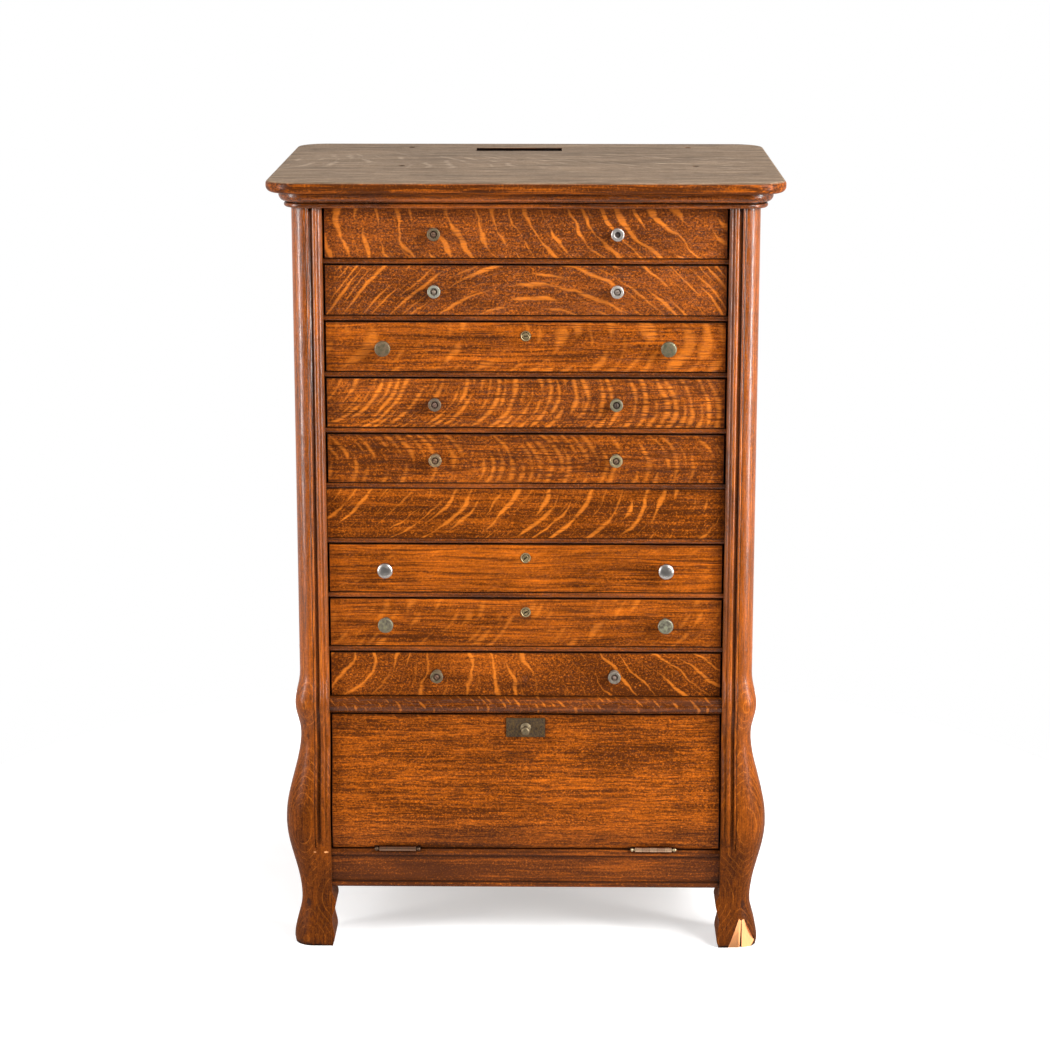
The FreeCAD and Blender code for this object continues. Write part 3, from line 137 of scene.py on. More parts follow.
class BASE_PG_metal(bpy.types.PropertyGroup):
    """The colours of the metalwork."""
    brass: colour("Brass", "Bare brass", (0.500, 0.360, 0.185))
    tarnish: colour("Tarnish", "Green-grey skin on the old brass", (0.165, 0.145, 0.080))
    bronze: colour("Bronze", "Brown skin on the old brass", (0.130, 0.078, 0.042))
    nickel: colour("Nickel", "Worn nickel plate", (0.640, 0.590, 0.550))
    steel: colour("Steel", "Screws", (0.170, 0.140, 0.120))
    # Real dirt in specks and scratches and the dull skin of the screws, and also painted shade in the corners
    # of the metal.
    grime: colour("Grime", "Dirt in the corners of the metal", (0.035, 0.020, 0.012))


class BASE_PG_stage(bpy.types.PropertyGroup):
    """The camera and the light."""
    location: FloatVectorProperty(name="Camera", description="Place of the camera",
                                  default=(0.0523, -3.928, 1.4684), subtype="TRANSLATION", unit="LENGTH")
    pitch: amount("Pitch", "How far the camera looks down", radians(13.207), unit="ROTATION")
    yaw: amount("Yaw", "How far the camera looks to the left", radians(0.822), unit="ROTATION")
    focal: amount("Focal length", "Focal length in widths of the picture", 2811.5 / 1050, min=0.5)
    key: amount("Key light", "Power of the large lamp at the upper right", 118.0, min=0.0, unit="POWER")
    fill: amount("Fill light", "Power of the lamp at the left", 22.0, min=0.0, unit="POWER")
    sides: amount("Side light", "Power of the tall lamps at the sides", 50.0, min=0.0, unit="POWER")
    sky: amount("Room light", "Strength of the light from all sides", 0.76, min=0.0)


class BASE_PG_settings(bpy.types.PropertyGroup):
    """All that a user would change."""
    timber: PointerProperty(type=BASE_PG_timber)
    metal: PointerProperty(type=BASE_PG_metal)
    stage: PointerProperty(type=BASE_PG_stage)


def settings():
    return bpy.context.scene.register_base


def shaded(tone, share):
    return tuple(part * share for part in tone)


# ---- nodes of a finish

class Nodes:
    """A tree whose nodes are added one by one."""

    def __init__(self, tree):
        self.tree = tree
        tree.nodes.clear()

    def add(self, kind, *values, **choices):
        """Adds a node. Each value is (socket, number, colour or another node's socket)."""
        node = self.tree.nodes.new("ShaderNode" + kind)
        for choice, value in choices.items():
            setattr(node, choice, value)
        for socket, value in values:
            self.put(node, socket, value)
        return node

    def put(self, node, socket, value):
        target = node.inputs[socket]
        if isinstance(value, bpy.types.NodeSocket):
            self.tree.links.new(value, target)
        else:
            target.default_value = (*value, 1.0) if target.type == "RGBA" else value

    def sum(self, a, b, operation="ADD"):
        return self.add("Math", (0, a), (1, b), operation=operation).outputs[0]

    def minus(self, a, b):
        return self.sum(a, b, "SUBTRACT")

    def times(self, a, b):
        return self.sum(a, b, "MULTIPLY")

    def most(self, a, b):
        return self.sum(a, b, "MAXIMUM")

    def size(self, a):
        return self.sum(a, 0.0, "ABSOLUTE")

    def line(self, value, low, high, to_low=0.0, to_high=1.0, kind="LINEAR"):
        """A clamped change of a value from low to high."""
        return self.add("MapRange", (0, value), (1, low), (2, high), (3, to_low), (4, to_high),
                        interpolation_type=kind).outputs[0]

    def step(self, value, low, high):
        """A soft step from nought at low to one at high."""
        return self.line(value, low, high, kind="SMOOTHSTEP")

    def vector(self, x, y, z):
        return self.add("CombineXYZ", (0, x), (1, y), (2, z)).outputs[0]

    def parts(self, vector):
        return tuple(self.add("SeparateXYZ", (0, vector)).outputs)

    def seen(self):
        """One where the camera looks, straight or through glass, and nought in the light."""
        path = self.add("LightPath").outputs
        return self.most(path["Is Camera Ray"], path["Is Transmission Ray"])


class Finish(Nodes):
    """A material."""

    def __init__(self, name):
        self.material = bpy.data.materials.new(name)
        self.material.use_nodes = True
        super().__init__(self.material.node_tree)
        self.shader = self.add("BsdfPrincipled")
        self.add("OutputMaterial", (0, self.shader.outputs[0]))

    def surface(self, **values):
        """Sets sockets of the shader by their names, with a line for a blank."""
        for socket, value in values.items():
            self.put(self.shader, socket.replace("_", " "), value)

    def noise(self, vector, scale=1.0, detail=2.0, roughness=0.5, distortion=0.0):
        return self.add("TexNoise", ("Vector", vector), ("Scale", scale), ("Detail", detail),
                        ("Roughness", roughness), ("Distortion", distortion)).outputs[0]

    def scaled(self, parts, factors):
        return self.vector(*(self.times(part, factor) for part, factor in zip(parts, factors)))

    def blend(self, share, low, high, mode="MIX"):
        """A colour between two others."""
        return self.add("Mix", (0, share), (6, low), (7, high), data_type="RGBA", blend_type=mode).outputs[2]

    def place(self, middle=(0, 0, 0)):
        """Object coordinates in millimetres from a middle given in metres."""
        seen = self.add("TexCoord").outputs["Object"]
        shifted = self.add("VectorMath", (0, seen), (1, tuple(middle)), operation="SUBTRACT").outputs[0]
        return self.add("Mapping", ("Vector", shifted), ("Scale", (1 / MM,) * 3)).outputs[0]

    def edge(self, width):
        """One along the edges of a piece and nought away from them."""
        bevel = self.add("Bevel", ("Radius", width), samples=4).outputs[0]
        normal = self.add("NewGeometry").outputs["Normal"]
        same = self.add("VectorMath", (0, bevel), (1, normal), operation="DOT_PRODUCT").outputs["Value"]
        return self.line(same, 0.995, 0.80)

    def corner(self, reach, share):
        """Painted shade: the share deep in a corner or a joint, found by ambient occlusion, and nought in the
        open.
        """
        open_sky = self.add("AmbientOcclusion", ("Distance", reach), samples=4).outputs["AO"]
        return self.line(open_sky, 0.86, 0.30, 0.0, share)

    def bump(self, *layers):
        """Height layers as (value, distance in metres), one over the other."""
        below = []
        for height, distance in layers:
            node = self.add("Bump", ("Height", height), ("Distance", distance), ("Strength", 1.0), *below)
            below = [("Normal", node.outputs[0])]
        self.put(self.shader, *below[0])


def streaks(f, run, over, fibre, seed, figure, gap, length, width, cover, soft):
    """The bright streaks of the ray figure, as a share from nought to one."""
    a, b, c, d, e = figure
    across = f.sum(f.times(run, a), f.times(over, b))
    for factor, first, second in ((c, run, over), (d, over, over), (e, run, run)):
        if factor:
            across = f.sum(across, f.times(f.times(first, second), factor))
    down = f.sum(f.times(run, -b), f.times(over, a))
    shake = f.noise(f.vector(f.times(run, 0.017), f.times(over, 0.017), seed + 4.0), 1.0, 3.0, 0.52)
    ragged = f.times(f.minus(fibre, 0.5), 4.0)
    turn = f.sum(f.times(across, 1.0 / gap),
                 f.sum(f.times(f.minus(shake, 0.5), 1.5), f.times(ragged, 1.0 / gap)))
    cell = f.sum(turn, 0.0, "FLOOR")
    chance = f.add("TexWhiteNoise", ("W", f.sum(cell, seed)), noise_dimensions="1D").outputs["Value"]
    aside = f.line(chance, 0.0, 1.0, -0.18, 0.18)
    off = f.size(f.minus(f.minus(f.minus(turn, cell), 0.5), aside))
    swell = f.noise(f.vector(f.times(cell, 3.7), f.times(down, 1.0 / length), seed), 1.0, 1.0)
    start = 0.64 - 0.32 * cover
    half = f.line(swell, start, start + 0.24, 0.0, 0.5 * width / gap)
    return f.line(f.minus(half, off), 0.0, soft / gap)


def spot(f, x, z, seed, middle, size):
    """A ragged spot on the front, in millimetres from the piece's middle."""
    dx = f.times(f.minus(x, middle[0]), 1.0 / size[0])
    dz = f.times(f.minus(z, middle[1]), 1.0 / size[1])
    far = f.sum(f.times(dx, dx), f.times(dz, dz))
    ragged = f.noise(f.vector(f.times(x, 1.6 / size[0]), f.times(z, 1.6 / size[1]), seed), 1.0, 3.0)
    return f.step(f.sum(far, f.times(f.minus(ragged, 0.5), 3.2)), 1.1, 0.45)


def oak(name, middle, along="X", face="Y", figure=None, gap=0.0, length=0.0, width=0.0, cover=0.0, soft=0.0,
        strength=0.0, pores=0.5, lightness=0.2, bands=0.7, mottle=0.8, rings=None, seed=0.0, marks=(),
        faded=False, shine=0.34, gloss=0.2, dim=None, grain=FINE, rim=None):
    """Stained, varnished oak. along is the way of the grain and face the way that the broad face looks.

    From figure to grain, the words are those of COLUMNS. rings is (direction, gap, strength) for a face that
    cuts through the growth rings, which then show as nested lines on every swelling. marks are (x, z, wide,
    high, colour, strength) on the front. shine is the roughness. dim is (height, height, share): below the
    first height only that share of the colour is left, above the second all of it; this darkening towards the
    floor is partly grime and partly painted shade. rim is the half width and half height of a panel whose
    edges are painted dark as the shade in the gap around it."""
    timber = settings().timber
    f = Finish(name)
    axis = x, y, z = f.parts(f.place(middle))
    first, last = "XYZ".index(along), "XYZ".index(face)
    run, deep, over = axis[first], axis[last], axis[3 - first - last]
    shift = seed * 37.0

    def stretched(long, cross, turn=0.0, move=0.0):
        """Coordinates that are drawn out along the grain."""
        side = f.sum(f.times(over, cross), move)
        return f.vector(f.times(run, long), side, f.sum(f.times(deep, cross), shift + turn))

    # Tone, growth bands, fibre, dark lines, pores and small marks.
    broad = stretched(0.004, 0.016)
    tone = f.noise(broad, 1.0, 3.0, 0.55)
    wander = f.minus(f.noise(broad, 2.3, 2.0, 0.5), 0.5)
    drift = f.times(wander, 3.0)
    growth = f.noise(stretched(0.006, 0.26, 1.0, drift), 1.0, 3.0, 0.65)
    fibre = f.noise(stretched(0.05, 1.6, 2.0), 1.0, 2.0, 0.6)
    lines = f.noise(stretched(*grain, 3.0, drift), 1.0, 3.0, 0.62)
    line = f.step(lines, 0.61 - 0.09 * pores, 0.70 - 0.09 * pores)
    pore = f.step(f.noise(stretched(0.05, 1.0, 4.0, drift), 1.0, 2.0, 0.55), 0.54, 0.66)
    small = f.noise(f.vector(f.times(run, 0.36), f.times(over, 0.42), f.sum(f.times(deep, 0.4), shift)),
                    1.0, 3.0, 0.65, 0.6)
    share = f.sum(f.sum(f.times(f.minus(tone, 0.5), 0.9), f.times(f.minus(growth, 0.5), 1.5 * bands)),
                  f.sum(f.times(f.minus(small, 0.5), 1.4 * mottle), lightness))
    ground = f.blend(f.line(share, -0.06, 0.88), shaded(timber.ground, 0.50), timber.light)
    bright = f.times(f.step(small, 0.55, 0.68), 0.20 * mottle)
    if figure:
        ray = streaks(f, run, over, fibre, shift, figure, gap, length, width, cover, soft)
        thin = streaks(f, run, over, fibre, shift + 50.0, figure, gap * 0.62, length * 0.5, width * 0.42,
                       cover * 0.7, soft * 0.8)
        cut = f.times(f.line(fibre, 0.68, 0.36, 0.60, 1.0),
                      f.line(line, 0.0, 1.0, 1.0, 0.75 - 0.4 * pores))
        ray = f.times(f.times(f.most(ray, f.times(thin, 0.5)), cut), strength)
        if faded:
            ray = f.times(ray, f.step(f.size(f.sum(over, -15.0)), 130.0, 60.0))
        bright = f.most(ray, bright)
    body = f.blend(bright, ground, timber.ray)
    if rings:
        direction, ring_gap, ring_strength = rings
        rx, ry, rz = (f.times(part, way / ring_gap) for part, way in zip(axis, direction))
        depth = f.sum(f.sum(rx, ry), rz)
        depth = f.sum(depth, f.sum(f.times(wander, 1.1), f.times(f.minus(fibre, 0.5), 0.35)))
        off = f.size(f.minus(f.sum(depth, 0.0, "FRACT"), 0.5))
        thin = f.times(f.step(off, 0.10, 0.01), f.step(f.noise(broad, 5.0, 2.0), 0.36, 0.58))
        body = f.blend(f.times(thin, ring_strength), body, timber.ray)
        body = f.blend(f.times(f.step(off, 0.28, 0.50), ring_strength * 0.45), body, timber.ground)
    body = f.blend(f.times(f.step(fibre, 0.52, 0.72), 0.18), body, timber.pore)
    body = f.blend(f.times(pore, 0.20 + 0.25 * pores), body, timber.pore)
    body = f.blend(f.times(line, 0.25 + 0.5 * pores), body, shaded(timber.ground, 0.38))
    if faded:
        # The worn upper face, paler and greyer partly from wear and partly as a painted sheen of the varnish,
        # and painted shade on the slot, holes and underside that the top board hides.
        up = f.parts(f.add("NewGeometry").outputs["Normal"])[2]
        top = f.step(up, 0.45, 0.9)
        worn_top_with_sheen = f.blend(f.times(f.line(share, 0.0, 1.0), 0.55), timber.faded, timber.faded_ray)
        worn_top_with_sheen = f.blend(bright, worn_top_with_sheen, timber.faded_ray)
        worn_top_with_sheen = f.blend(f.times(f.most(pore, line), 0.45), worn_top_with_sheen, timber.pore)
        body = f.blend(top, body, worn_top_with_sheen)
        # Painted shade in the slot and holes and under the board.
        inner = f.times(f.step(f.size(x), 310.0, 300.0), f.step(f.size(y), 235.0, 228.0))
        body = f.blend(f.times(f.step(z, 7.95, 7.75), inner), body, shaded(timber.dirt, 0.4))
    shade = f.line(f.noise(broad, 3.1, 2.0), 0.3, 0.7, 0.76, 1.18)
    # Darker towards the floor: partly grime, partly painted shade.
    if dim:
        shade = f.times(shade, f.line(z, *dim, 1.0))
    body = f.blend(1.0, body, f.vector(shade, shade, shade), "MULTIPLY")
    # Worn edges, marks, and painted shade in the joints, the gaps and along a panel's edges.
    worn = f.edge(timber.wear)
    patchy = f.step(f.noise(f.scaled(axis, (0.05,) * 3), 1.0, 3.0), 0.40, 0.62)
    body = f.blend(f.times(f.times(worn, patchy), 0.45), body, timber.light)
    for count, (at_x, at_z, wide, high, kind, weight) in enumerate(marks):
        mask = spot(f, x, z, shift + count, (at_x, at_z), (wide, high))
        body = f.blend(f.times(mask, weight), body, getattr(timber, kind))
    # Painted shade in the joints and gaps, from ambient occlusion.
    body = f.blend(f.corner(7 * MM, 0.92), body, timber.dirt)
    # Painted shade along the edges of a panel, for the dark gap around it.
    if rim:
        near = f.most(f.line(f.size(x), rim[0] - 1.0, rim[0] - 0.4),
                      f.line(f.size(z), rim[1] - 1.2, rim[1] - 0.5))
        body = f.blend(f.times(near, 0.85), body, timber.dirt)
    rough = f.sum(f.line(tone, 0.3, 0.7, shine - 0.05, shine + 0.07), f.times(pore, 0.20))
    rough = f.sum(rough, f.times(worn, 0.10))
    if faded:
        rough = f.sum(rough, f.times(top, 0.32))
    level, coat = gloss, timber.varnish * 4.0 * gloss
    if dim:
        level = f.line(z, dim[1] - 200.0, dim[1] + 140.0, 0.06, gloss)
        coat = f.line(z, dim[1] - 200.0, dim[1] + 140.0, 0.0, coat)
        rough = f.sum(rough, f.line(z, dim[0], dim[1], 0.22, 0.0))
    f.surface(Base_Color=body, Roughness=rough, IOR=1.5, Specular_IOR_Level=level, Coat_Weight=coat,
              Coat_Roughness=0.2)
    f.bump((f.times(pore, -1.0), 0.10 * MM), (f.times(line, -1.0), 0.08 * MM), (bright, 0.06 * MM),
           (tone, 0.9 * MM))
    return f.material


def bare_wood(name, along="X", seed=0.0):
    """Unfinished timber that has gone brown: saw marks, pores and dust."""
    timber = settings().timber
    f = Finish(name)
    x, y, z = f.parts(f.place())
    run, over, deep = {"X": (x, y, z), "Y": (y, x, z), "Z": (z, x, y)}[along]

    def stretched(long, cross, shift=0.0):
        return f.vector(f.times(run, long), f.times(over, cross), f.sum(f.times(deep, cross), shift))

    shift = seed * 23.0
    tone = f.noise(stretched(0.005, 0.02, shift), 1.0, 4.0)
    band = f.noise(stretched(0.008, 0.30, shift), 1.0, 4.0, 0.65)
    fibre = f.noise(stretched(0.06, 1.8), 1.0, 2.0)
    saw = f.noise(stretched(0.55, 0.02), 1.0, 1.0)
    body = f.blend(f.line(f.sum(f.times(tone, 0.6), f.times(band, 0.6)), 0.42, 0.80),
                   shaded(timber.secondary, 0.55), shaded(timber.secondary, 1.25))
    body = f.blend(f.times(f.step(fibre, 0.56, 0.70), 0.35), body, timber.pore)
    body = f.blend(f.times(f.edge(timber.wear), 0.25), body, timber.pore)
    f.surface(Base_Color=body, Roughness=f.line(band, 0.3, 0.7, 0.62, 0.80), IOR=1.45)
    f.bump((fibre, 0.12 * MM), (saw, 0.10 * MM))
    return f.material


def metal(name, bright, dull, tarnish=0.5, rough=0.32, seed=0.0, core=None, middle=(0, 0, 0), core_radius=0.0,
          left=None):
    """Old metal: a dull skin, bright where hands have rubbed the edges, and dirt in fine scratches.

    core darkens a disc of core_radius millimetres about a middle, such as the cup of a knob. left is the
    colour of what lies left of the middle of the base."""
    tone = settings().metal
    f = Finish(name)
    x, y, z = f.parts(f.place(middle))
    moved = f.vector(f.sum(x, seed * 31.0), y, f.sum(z, seed * 17.0))
    cloud = f.noise(moved, 0.27, 4.0, 0.62)
    speck = f.noise(moved, 1.3, 3.0, 0.6)
    scratch = f.noise(f.scaled((x, y, z), (0.3, 1.0, 3.2)), 1.0, 2.0)
    worn = f.edge(0.6 * MM)
    skin = f.line(f.sum(cloud, f.times(speck, 0.5)), 0.86 - 0.36 * tarnish, 1.16 - 0.36 * tarnish)
    skin = f.times(skin, f.line(worn, 0.0, 1.0, 1.0, 0.25))
    if left is not None:
        bright = f.blend(f.step(f.parts(f.place())[0], -20.0, 20.0), left, bright)
    body = f.blend(skin, bright, dull)
    body = f.blend(f.times(f.step(speck, 0.56, 0.70), 0.65 * tarnish), body, tone.grime)
    body = f.blend(f.times(f.step(scratch, 0.60, 0.68), 0.30), body, tone.grime)
    if core is not None:
        far = f.sum(f.sum(f.times(x, x), f.times(z, z)), 0.5, "POWER")
        inside = f.step(far, core_radius + 0.6, core_radius - 0.6)
        body = f.blend(f.times(inside, 0.85), body, core)
        skin = f.most(skin, inside)
    # Painted shade in the corners and joints of the metal, from ambient occlusion.
    body = f.blend(f.corner(1.6 * MM, 0.9), body, tone.grime)
    roughness = f.sum(f.line(skin, 0.0, 1.0, rough, rough + 0.24), f.times(scratch, 0.10))
    f.surface(Base_Color=body, Roughness=roughness, Metallic=f.line(skin, 0.0, 1.0, 1.0, 0.35))
    f.bump((speck, 0.02 * MM), (scratch, 0.015 * MM), (cloud, 0.08 * MM))
    return f.material


# ---- pieces

# The angle, in degrees, above which an edge stays sharp: on flat pieces, and on mouldings and curved fronts.
SHARP = 35.0
MOULDED = 25.0


def mode(name):
    bpy.ops.object.mode_set(mode=name)


def edit(faces=False):
    """Opens the mesh of the active object with all its edges selected, or all its faces."""
    mode("EDIT")
    bpy.context.tool_settings.mesh_select_mode = (False, not faces, faces)
    bpy.ops.mesh.select_all(action="SELECT")


def alone(*pieces):
    """Makes pieces the only selected ones and the first the active one."""
    bpy.ops.object.select_all(action="DESELECT")
    for piece in pieces:
        piece.select_set(True)
    bpy.context.view_layer.objects.active = pieces[0]


def discard(*patterns):
    for pattern in patterns:
        bpy.data.objects.remove(pattern)


def settle():
    """Puts the place, turn and size of the selected object into its mesh."""
    bpy.ops.object.transform_apply(location=True, rotation=True, scale=True)


def give(piece, material):
    """Makes a material the only one of a piece."""
    piece.data.materials.clear()
    piece.data.materials.append(material)


def finish_piece(piece, body, material, slot, *nodes, angle=SHARP):
    """Shades a piece, gives it its finish and its body, and lets it stand for its CAD nodes."""
    alone(piece)
    settle()
    bpy.ops.object.shade_smooth_by_angle(angle=radians(angle))
    weight = piece.modifiers.new("Weight", "WEIGHTED_NORMAL")
    weight.keep_sharp = True
    bpy.ops.object.modifier_apply(modifier=weight.name)
    if material is not None:
        give(piece, material)
    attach(piece, body)
    if nodes:
        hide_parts(*nodes)
    return piece


def merged_copy(node, name):
    """A copy of a CAD node with its loose triangles joined."""
    piece = bpy.data.objects.new(name, frame["nodes"][node].data.copy())
    bpy.context.scene.collection.objects.link(piece)
    alone(piece)
    edit()
    bpy.ops.mesh.remove_doubles(threshold=0.002 * MM)
    bpy.ops.mesh.mark_sharp(clear=True)
    mode("OBJECT")
    return piece


def body_of(node):
    return frame["nodes"][node]["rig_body"]


def middle_of(node):
    low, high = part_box(node)
    return (low + high) / 2


def half_of(node):
    """Half the size of a node in millimetres."""
    low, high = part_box(node)
    return (high - low) / (2 * MM)


def from_middle(node, marks):
    """Marks at places in the base's millimetres, seen from the middle of a node."""
    cx, _, cz = (part / MM for part in middle_of(node))
    return [(x - cx, z - cz, *rest) for x, z, *rest in marks]


def carry(node, material, slot, angle=SHARP):
    """A merged, smoothly shaded copy that stands for a CAD node."""
    piece = merged_copy(node, node + "_dressed")
    return finish_piece(piece, body_of(node), material, slot, node, angle=angle)


def carry_oak(node, name, along="X", face="Y", angle=SHARP, **look):
    return carry(node, oak(name, middle_of(node), along, face, **look), "oak", angle)


def turned(name, rings, sides, hollow=False):
    """A piece turned about Y through (radius, y) rings in millimetres. A hollow one closes on itself."""
    bpy.ops.mesh.primitive_circle_add(vertices=sides, radius=rings[0][0] * MM,
                                      fill_type="NOTHING" if hollow else "NGON",
                                      location=(0, rings[0][1] * MM, 0), rotation=(pi / 2, 0, 0))
    piece = bpy.context.object
    piece.name = name
    settle()
    edit(faces=not hollow)
    for (radius, y), (next_radius, next_y) in zip(rings, rings[1:]):
        step = {"value": (0, (next_y - y) * MM, 0)}
        if hollow:
            bpy.ops.mesh.extrude_edges_move(TRANSFORM_OT_translate=step)
        else:
            bpy.ops.mesh.extrude_region_move(TRANSFORM_OT_translate=step)
        scale = next_radius / radius
        bpy.ops.transform.resize(value=(scale, 1, scale), center_override=(0, next_y * MM, 0))
    bpy.ops.mesh.select_all(action="SELECT")
    bpy.ops.mesh.remove_doubles(threshold=0.001 * MM)
    bpy.ops.mesh.normals_make_consistent(inside=False)
    mode("OBJECT")
    return piece


def slab(name, low, high, ease=0.0):
    """A box between two corners in metres, with its edges eased."""
    low, high = Vector(low), Vector(high)
    bpy.ops.mesh.primitive_cube_add(size=1, location=(low + high) / 2, scale=high - low)
    piece = bpy.context.object
    piece.name = name
    settle()
    if ease:
        edit()
        bpy.ops.mesh.bevel(offset=ease, segments=2, affect="EDGES")
        mode("OBJECT")
    return piece


def cut_away(piece, cutter):
    """Takes a cutter out of a piece, and leaves the cutter's finish on the cut faces."""
    change = piece.modifiers.new("Cut", "BOOLEAN")
    change.operation, change.solver, change.object = "DIFFERENCE", "EXACT", cutter
    change.material_mode = "TRANSFER"
    alone(piece)
    bpy.ops.object.modifier_apply(modifier=change.name)
    bpy.data.objects.remove(cutter)


def cut_in_half(piece, point, away):
    """Cuts a convex piece with a plane and closes it; what lies on the away side goes."""
    alone(piece)
    edit()
    bpy.ops.mesh.bisect(plane_co=point, plane_no=away, clear_outer=True, use_fill=True)
    mode("OBJECT")


def joined(name, pieces):
    """Several pieces as one object."""
    alone(*pieces)
    bpy.ops.object.join()
    pieces[0].name = name
    return pieces[0]


def copied(pattern, location, material=None, turn=0.0):
    """A copy of a pattern with its own mesh, turned about the Y axis and put in its place."""
    piece = pattern.copy()
    piece.data = pattern.data.copy()
    bpy.context.scene.collection.objects.link(piece)
    piece.location, piece.rotation_euler = location, (0.0, turn, 0.0)
    if material is not None:
        give(piece, material)
    alone(piece)
    settle()
    return piece


class Base:
    """What the operators share."""
    bl_options = {"REGISTER", "UNDO"}


class BASE_OT_top(Base, bpy.types.Operator):
    """Register top with its slot and bolt holes, and the bed moulding under it"""
    bl_idname = "base.top"
    bl_label = "Top and moulding"

    def execute(self, context):
        carry_oak("top_board", "oak_top", "X", "Z", seed=1.3, faded=True, **figured("top"))
        carry_oak("cornice_moulding", "oak_cornice", angle=MOULDED, pores=0.75, lightness=0.20, bands=1.2,
                  seed=2.1, shine=0.26, gloss=0.35)
        return {"FINISHED"}


# Marks on the front legs as (x, z, wide, high, colour, strength), in the base's millimetres.
LEG_MARKS = {
    "left": ((-302.0, 60.0, 3.5, 6.0, "pore", 0.85), (-293.5, 360.0, 2.0, 5.0, "pore", 0.6),
             (-299.0, 301.5, 2.0, 4.0, "pore", 0.6), (-275.5, 139.5, 3.2, 1.4, "raw", 0.8),
             (-291.0, 139.5, 2.0, 1.2, "raw", 0.6)),
    "right": ((302.0, 60.0, 3.5, 6.0, "pore", 0.85),),
}
# The heights between which the front legs get lighter, and the share of colour that is left below them.
# The darkening towards the floor is partly grime and partly painted shade.
LEG_DARK, LEG_LIGHT, LEG_SHARE = 20.0, 430.0, 0.34
# The block out of which the chips are cut, and each chip: its apex and its lower corners as (x, z), the y of
# its floor at the left end of the chip's foot, and how far the floor goes back for each millimetre to the
# right and upwards.
CHIP_BLOCK = ((0.270, -0.270, -0.002), (0.330, -0.230, 0.050))
CHIP_START = 0.300
CHIPS = {
    "raw_left": (((299.5, 47.0), (281.5, -2.0), (302.0, -2.0)), -244.6, 0.0, 0.102),
    "raw_right": (((299.5, 47.0), (298.5, -2.0), (324.0, -2.0)), -244.6, 0.44, 0.102),
    "split": (((300.4, 38.0), (298.0, -2.0), (301.2, -2.0)), -241.5, 0.0, 0.0875),
}


class BASE_OT_legs(Base, bpy.types.Operator):
    """The four legs, with the chipped toe of the right front one"""
    bl_idname = "base.legs"
    bl_label = "Legs"

    def execute(self, context):
        for side, sign in (("left", -1), ("right", 1)):
            node = f"front_leg_{side}"
            cz = middle_of(node).z / MM
            timber = oak(f"oak_front_{side}", middle_of(node), "Z", "Y", pores=0.55, lightness=0.36,
                         rings=((0.30 * sign, -0.95, 0.0), 3.1, 0.55), seed=3.0 + sign, shine=0.27,
                         marks=from_middle(node, LEG_MARKS[side]), gloss=0.45,
                         dim=(LEG_DARK - cz, LEG_LIGHT - cz, LEG_SHARE))
            if side == "left":
                carry(node, timber, "oak")
            else:
                self.chipped(node, timber)
            carry_oak(f"rear_leg_{side}", f"oak_rear_{side}", "Z", "X", lightness=0.15,
                      rings=((sign, 0.1, 0.0), 4.2, 0.4), seed=5.0 + sign)
        return {"FINISHED"}

    def chipped(self, node, timber):
        """The right front leg with a wedge of its toe split off."""
        piece = merged_copy(node, node + "_dressed")
        give(piece, timber)
        for name, (corners, floor_y, back, rise) in CHIPS.items():
            chip = slab("chip", *CHIP_BLOCK)
            (ax, az), (lx, lz), (rx, rz) = (shaded(corner, MM) for corner in corners)
            cut_in_half(chip, (ax, 0, az), (-(az - lz), 0, ax - lx))
            cut_in_half(chip, (ax, 0, az), (az - rz, 0, rx - ax))
            cut_in_half(chip, (CHIP_START, floor_y * MM, CHIP_BLOCK[0][2]), (-back, 1.0, -rise))
            chip.data.materials.append(self.raw_finish(name))
            cut_away(piece, chip)
        finish_piece(piece, body_of(node), None, "oak", node)

    def raw_finish(self, name):
        """Bare oak where the toe split, and the dark crack in it."""
        timber = settings().timber
        f = Finish(f"oak_{name}_wood")
        fibre = f.noise(f.scaled(f.parts(f.place()), (1.5, 1.5, 0.12)), 1.0, 3.0, 0.6)
        if name == "split":
            body = f.blend(f.line(fibre, 0.2, 0.8), timber.pore, timber.ground)
        else:
            body = f.blend(f.line(fibre, 0.3, 0.7), shaded(timber.raw, 0.78), timber.raw)
        f.surface(Base_Color=body, Roughness=f.line(fibre, 0.3, 0.7, 0.6, 0.75))
        f.bump((fibre, 0.25 * MM))
        return f.material


class BASE_OT_sides(Base, bpy.types.Operator):
    """Side rails and panels"""
    bl_idname = "base.sides"
    bl_label = "Sides"

    def execute(self, context):
        carry_oak("side_rails", "oak_side_rails", "Y", "X", pores=0.55, lightness=0.22, seed=6.2)
        carry_oak("side_panels", "oak_side_panels", "Z", "X", seed=7.4, **figured("side_panels"))
        return {"FINISHED"}


class BASE_OT_back(Base, bpy.types.Operator):
    """Back panel"""
    bl_idname = "base.back"
    bl_label = "Back"

    def execute(self, context):
        carry("back_panel", bare_wood("plain_back", "Z", 1.0), "plain_wood")
        return {"FINISHED"}


# Marks on the fronts, in millimetres from the front's middle.
PLUG_STAIN = (1.0, -4.0, 7.0, 7.0, "pore", 0.45)
FRONT_MARKS = {1: [PLUG_STAIN], 9: [PLUG_STAIN], BLANK: [(-48.0, 35.0, 3.0, 2.2, "pore", 0.8)],
               8: [(-4.0, 4.0, 16.0, 8.0, "pore", 0.35)]}
HOLED = (2, 4, 5)
PLUGGED = (1, 9)
HOLE = ((0.9, -1.0), (0.9, 6.0))
WOOD_PLUG = ((4.0, 4.0), (4.0, -0.04), (3.6, -0.10), (0.5, -0.12))


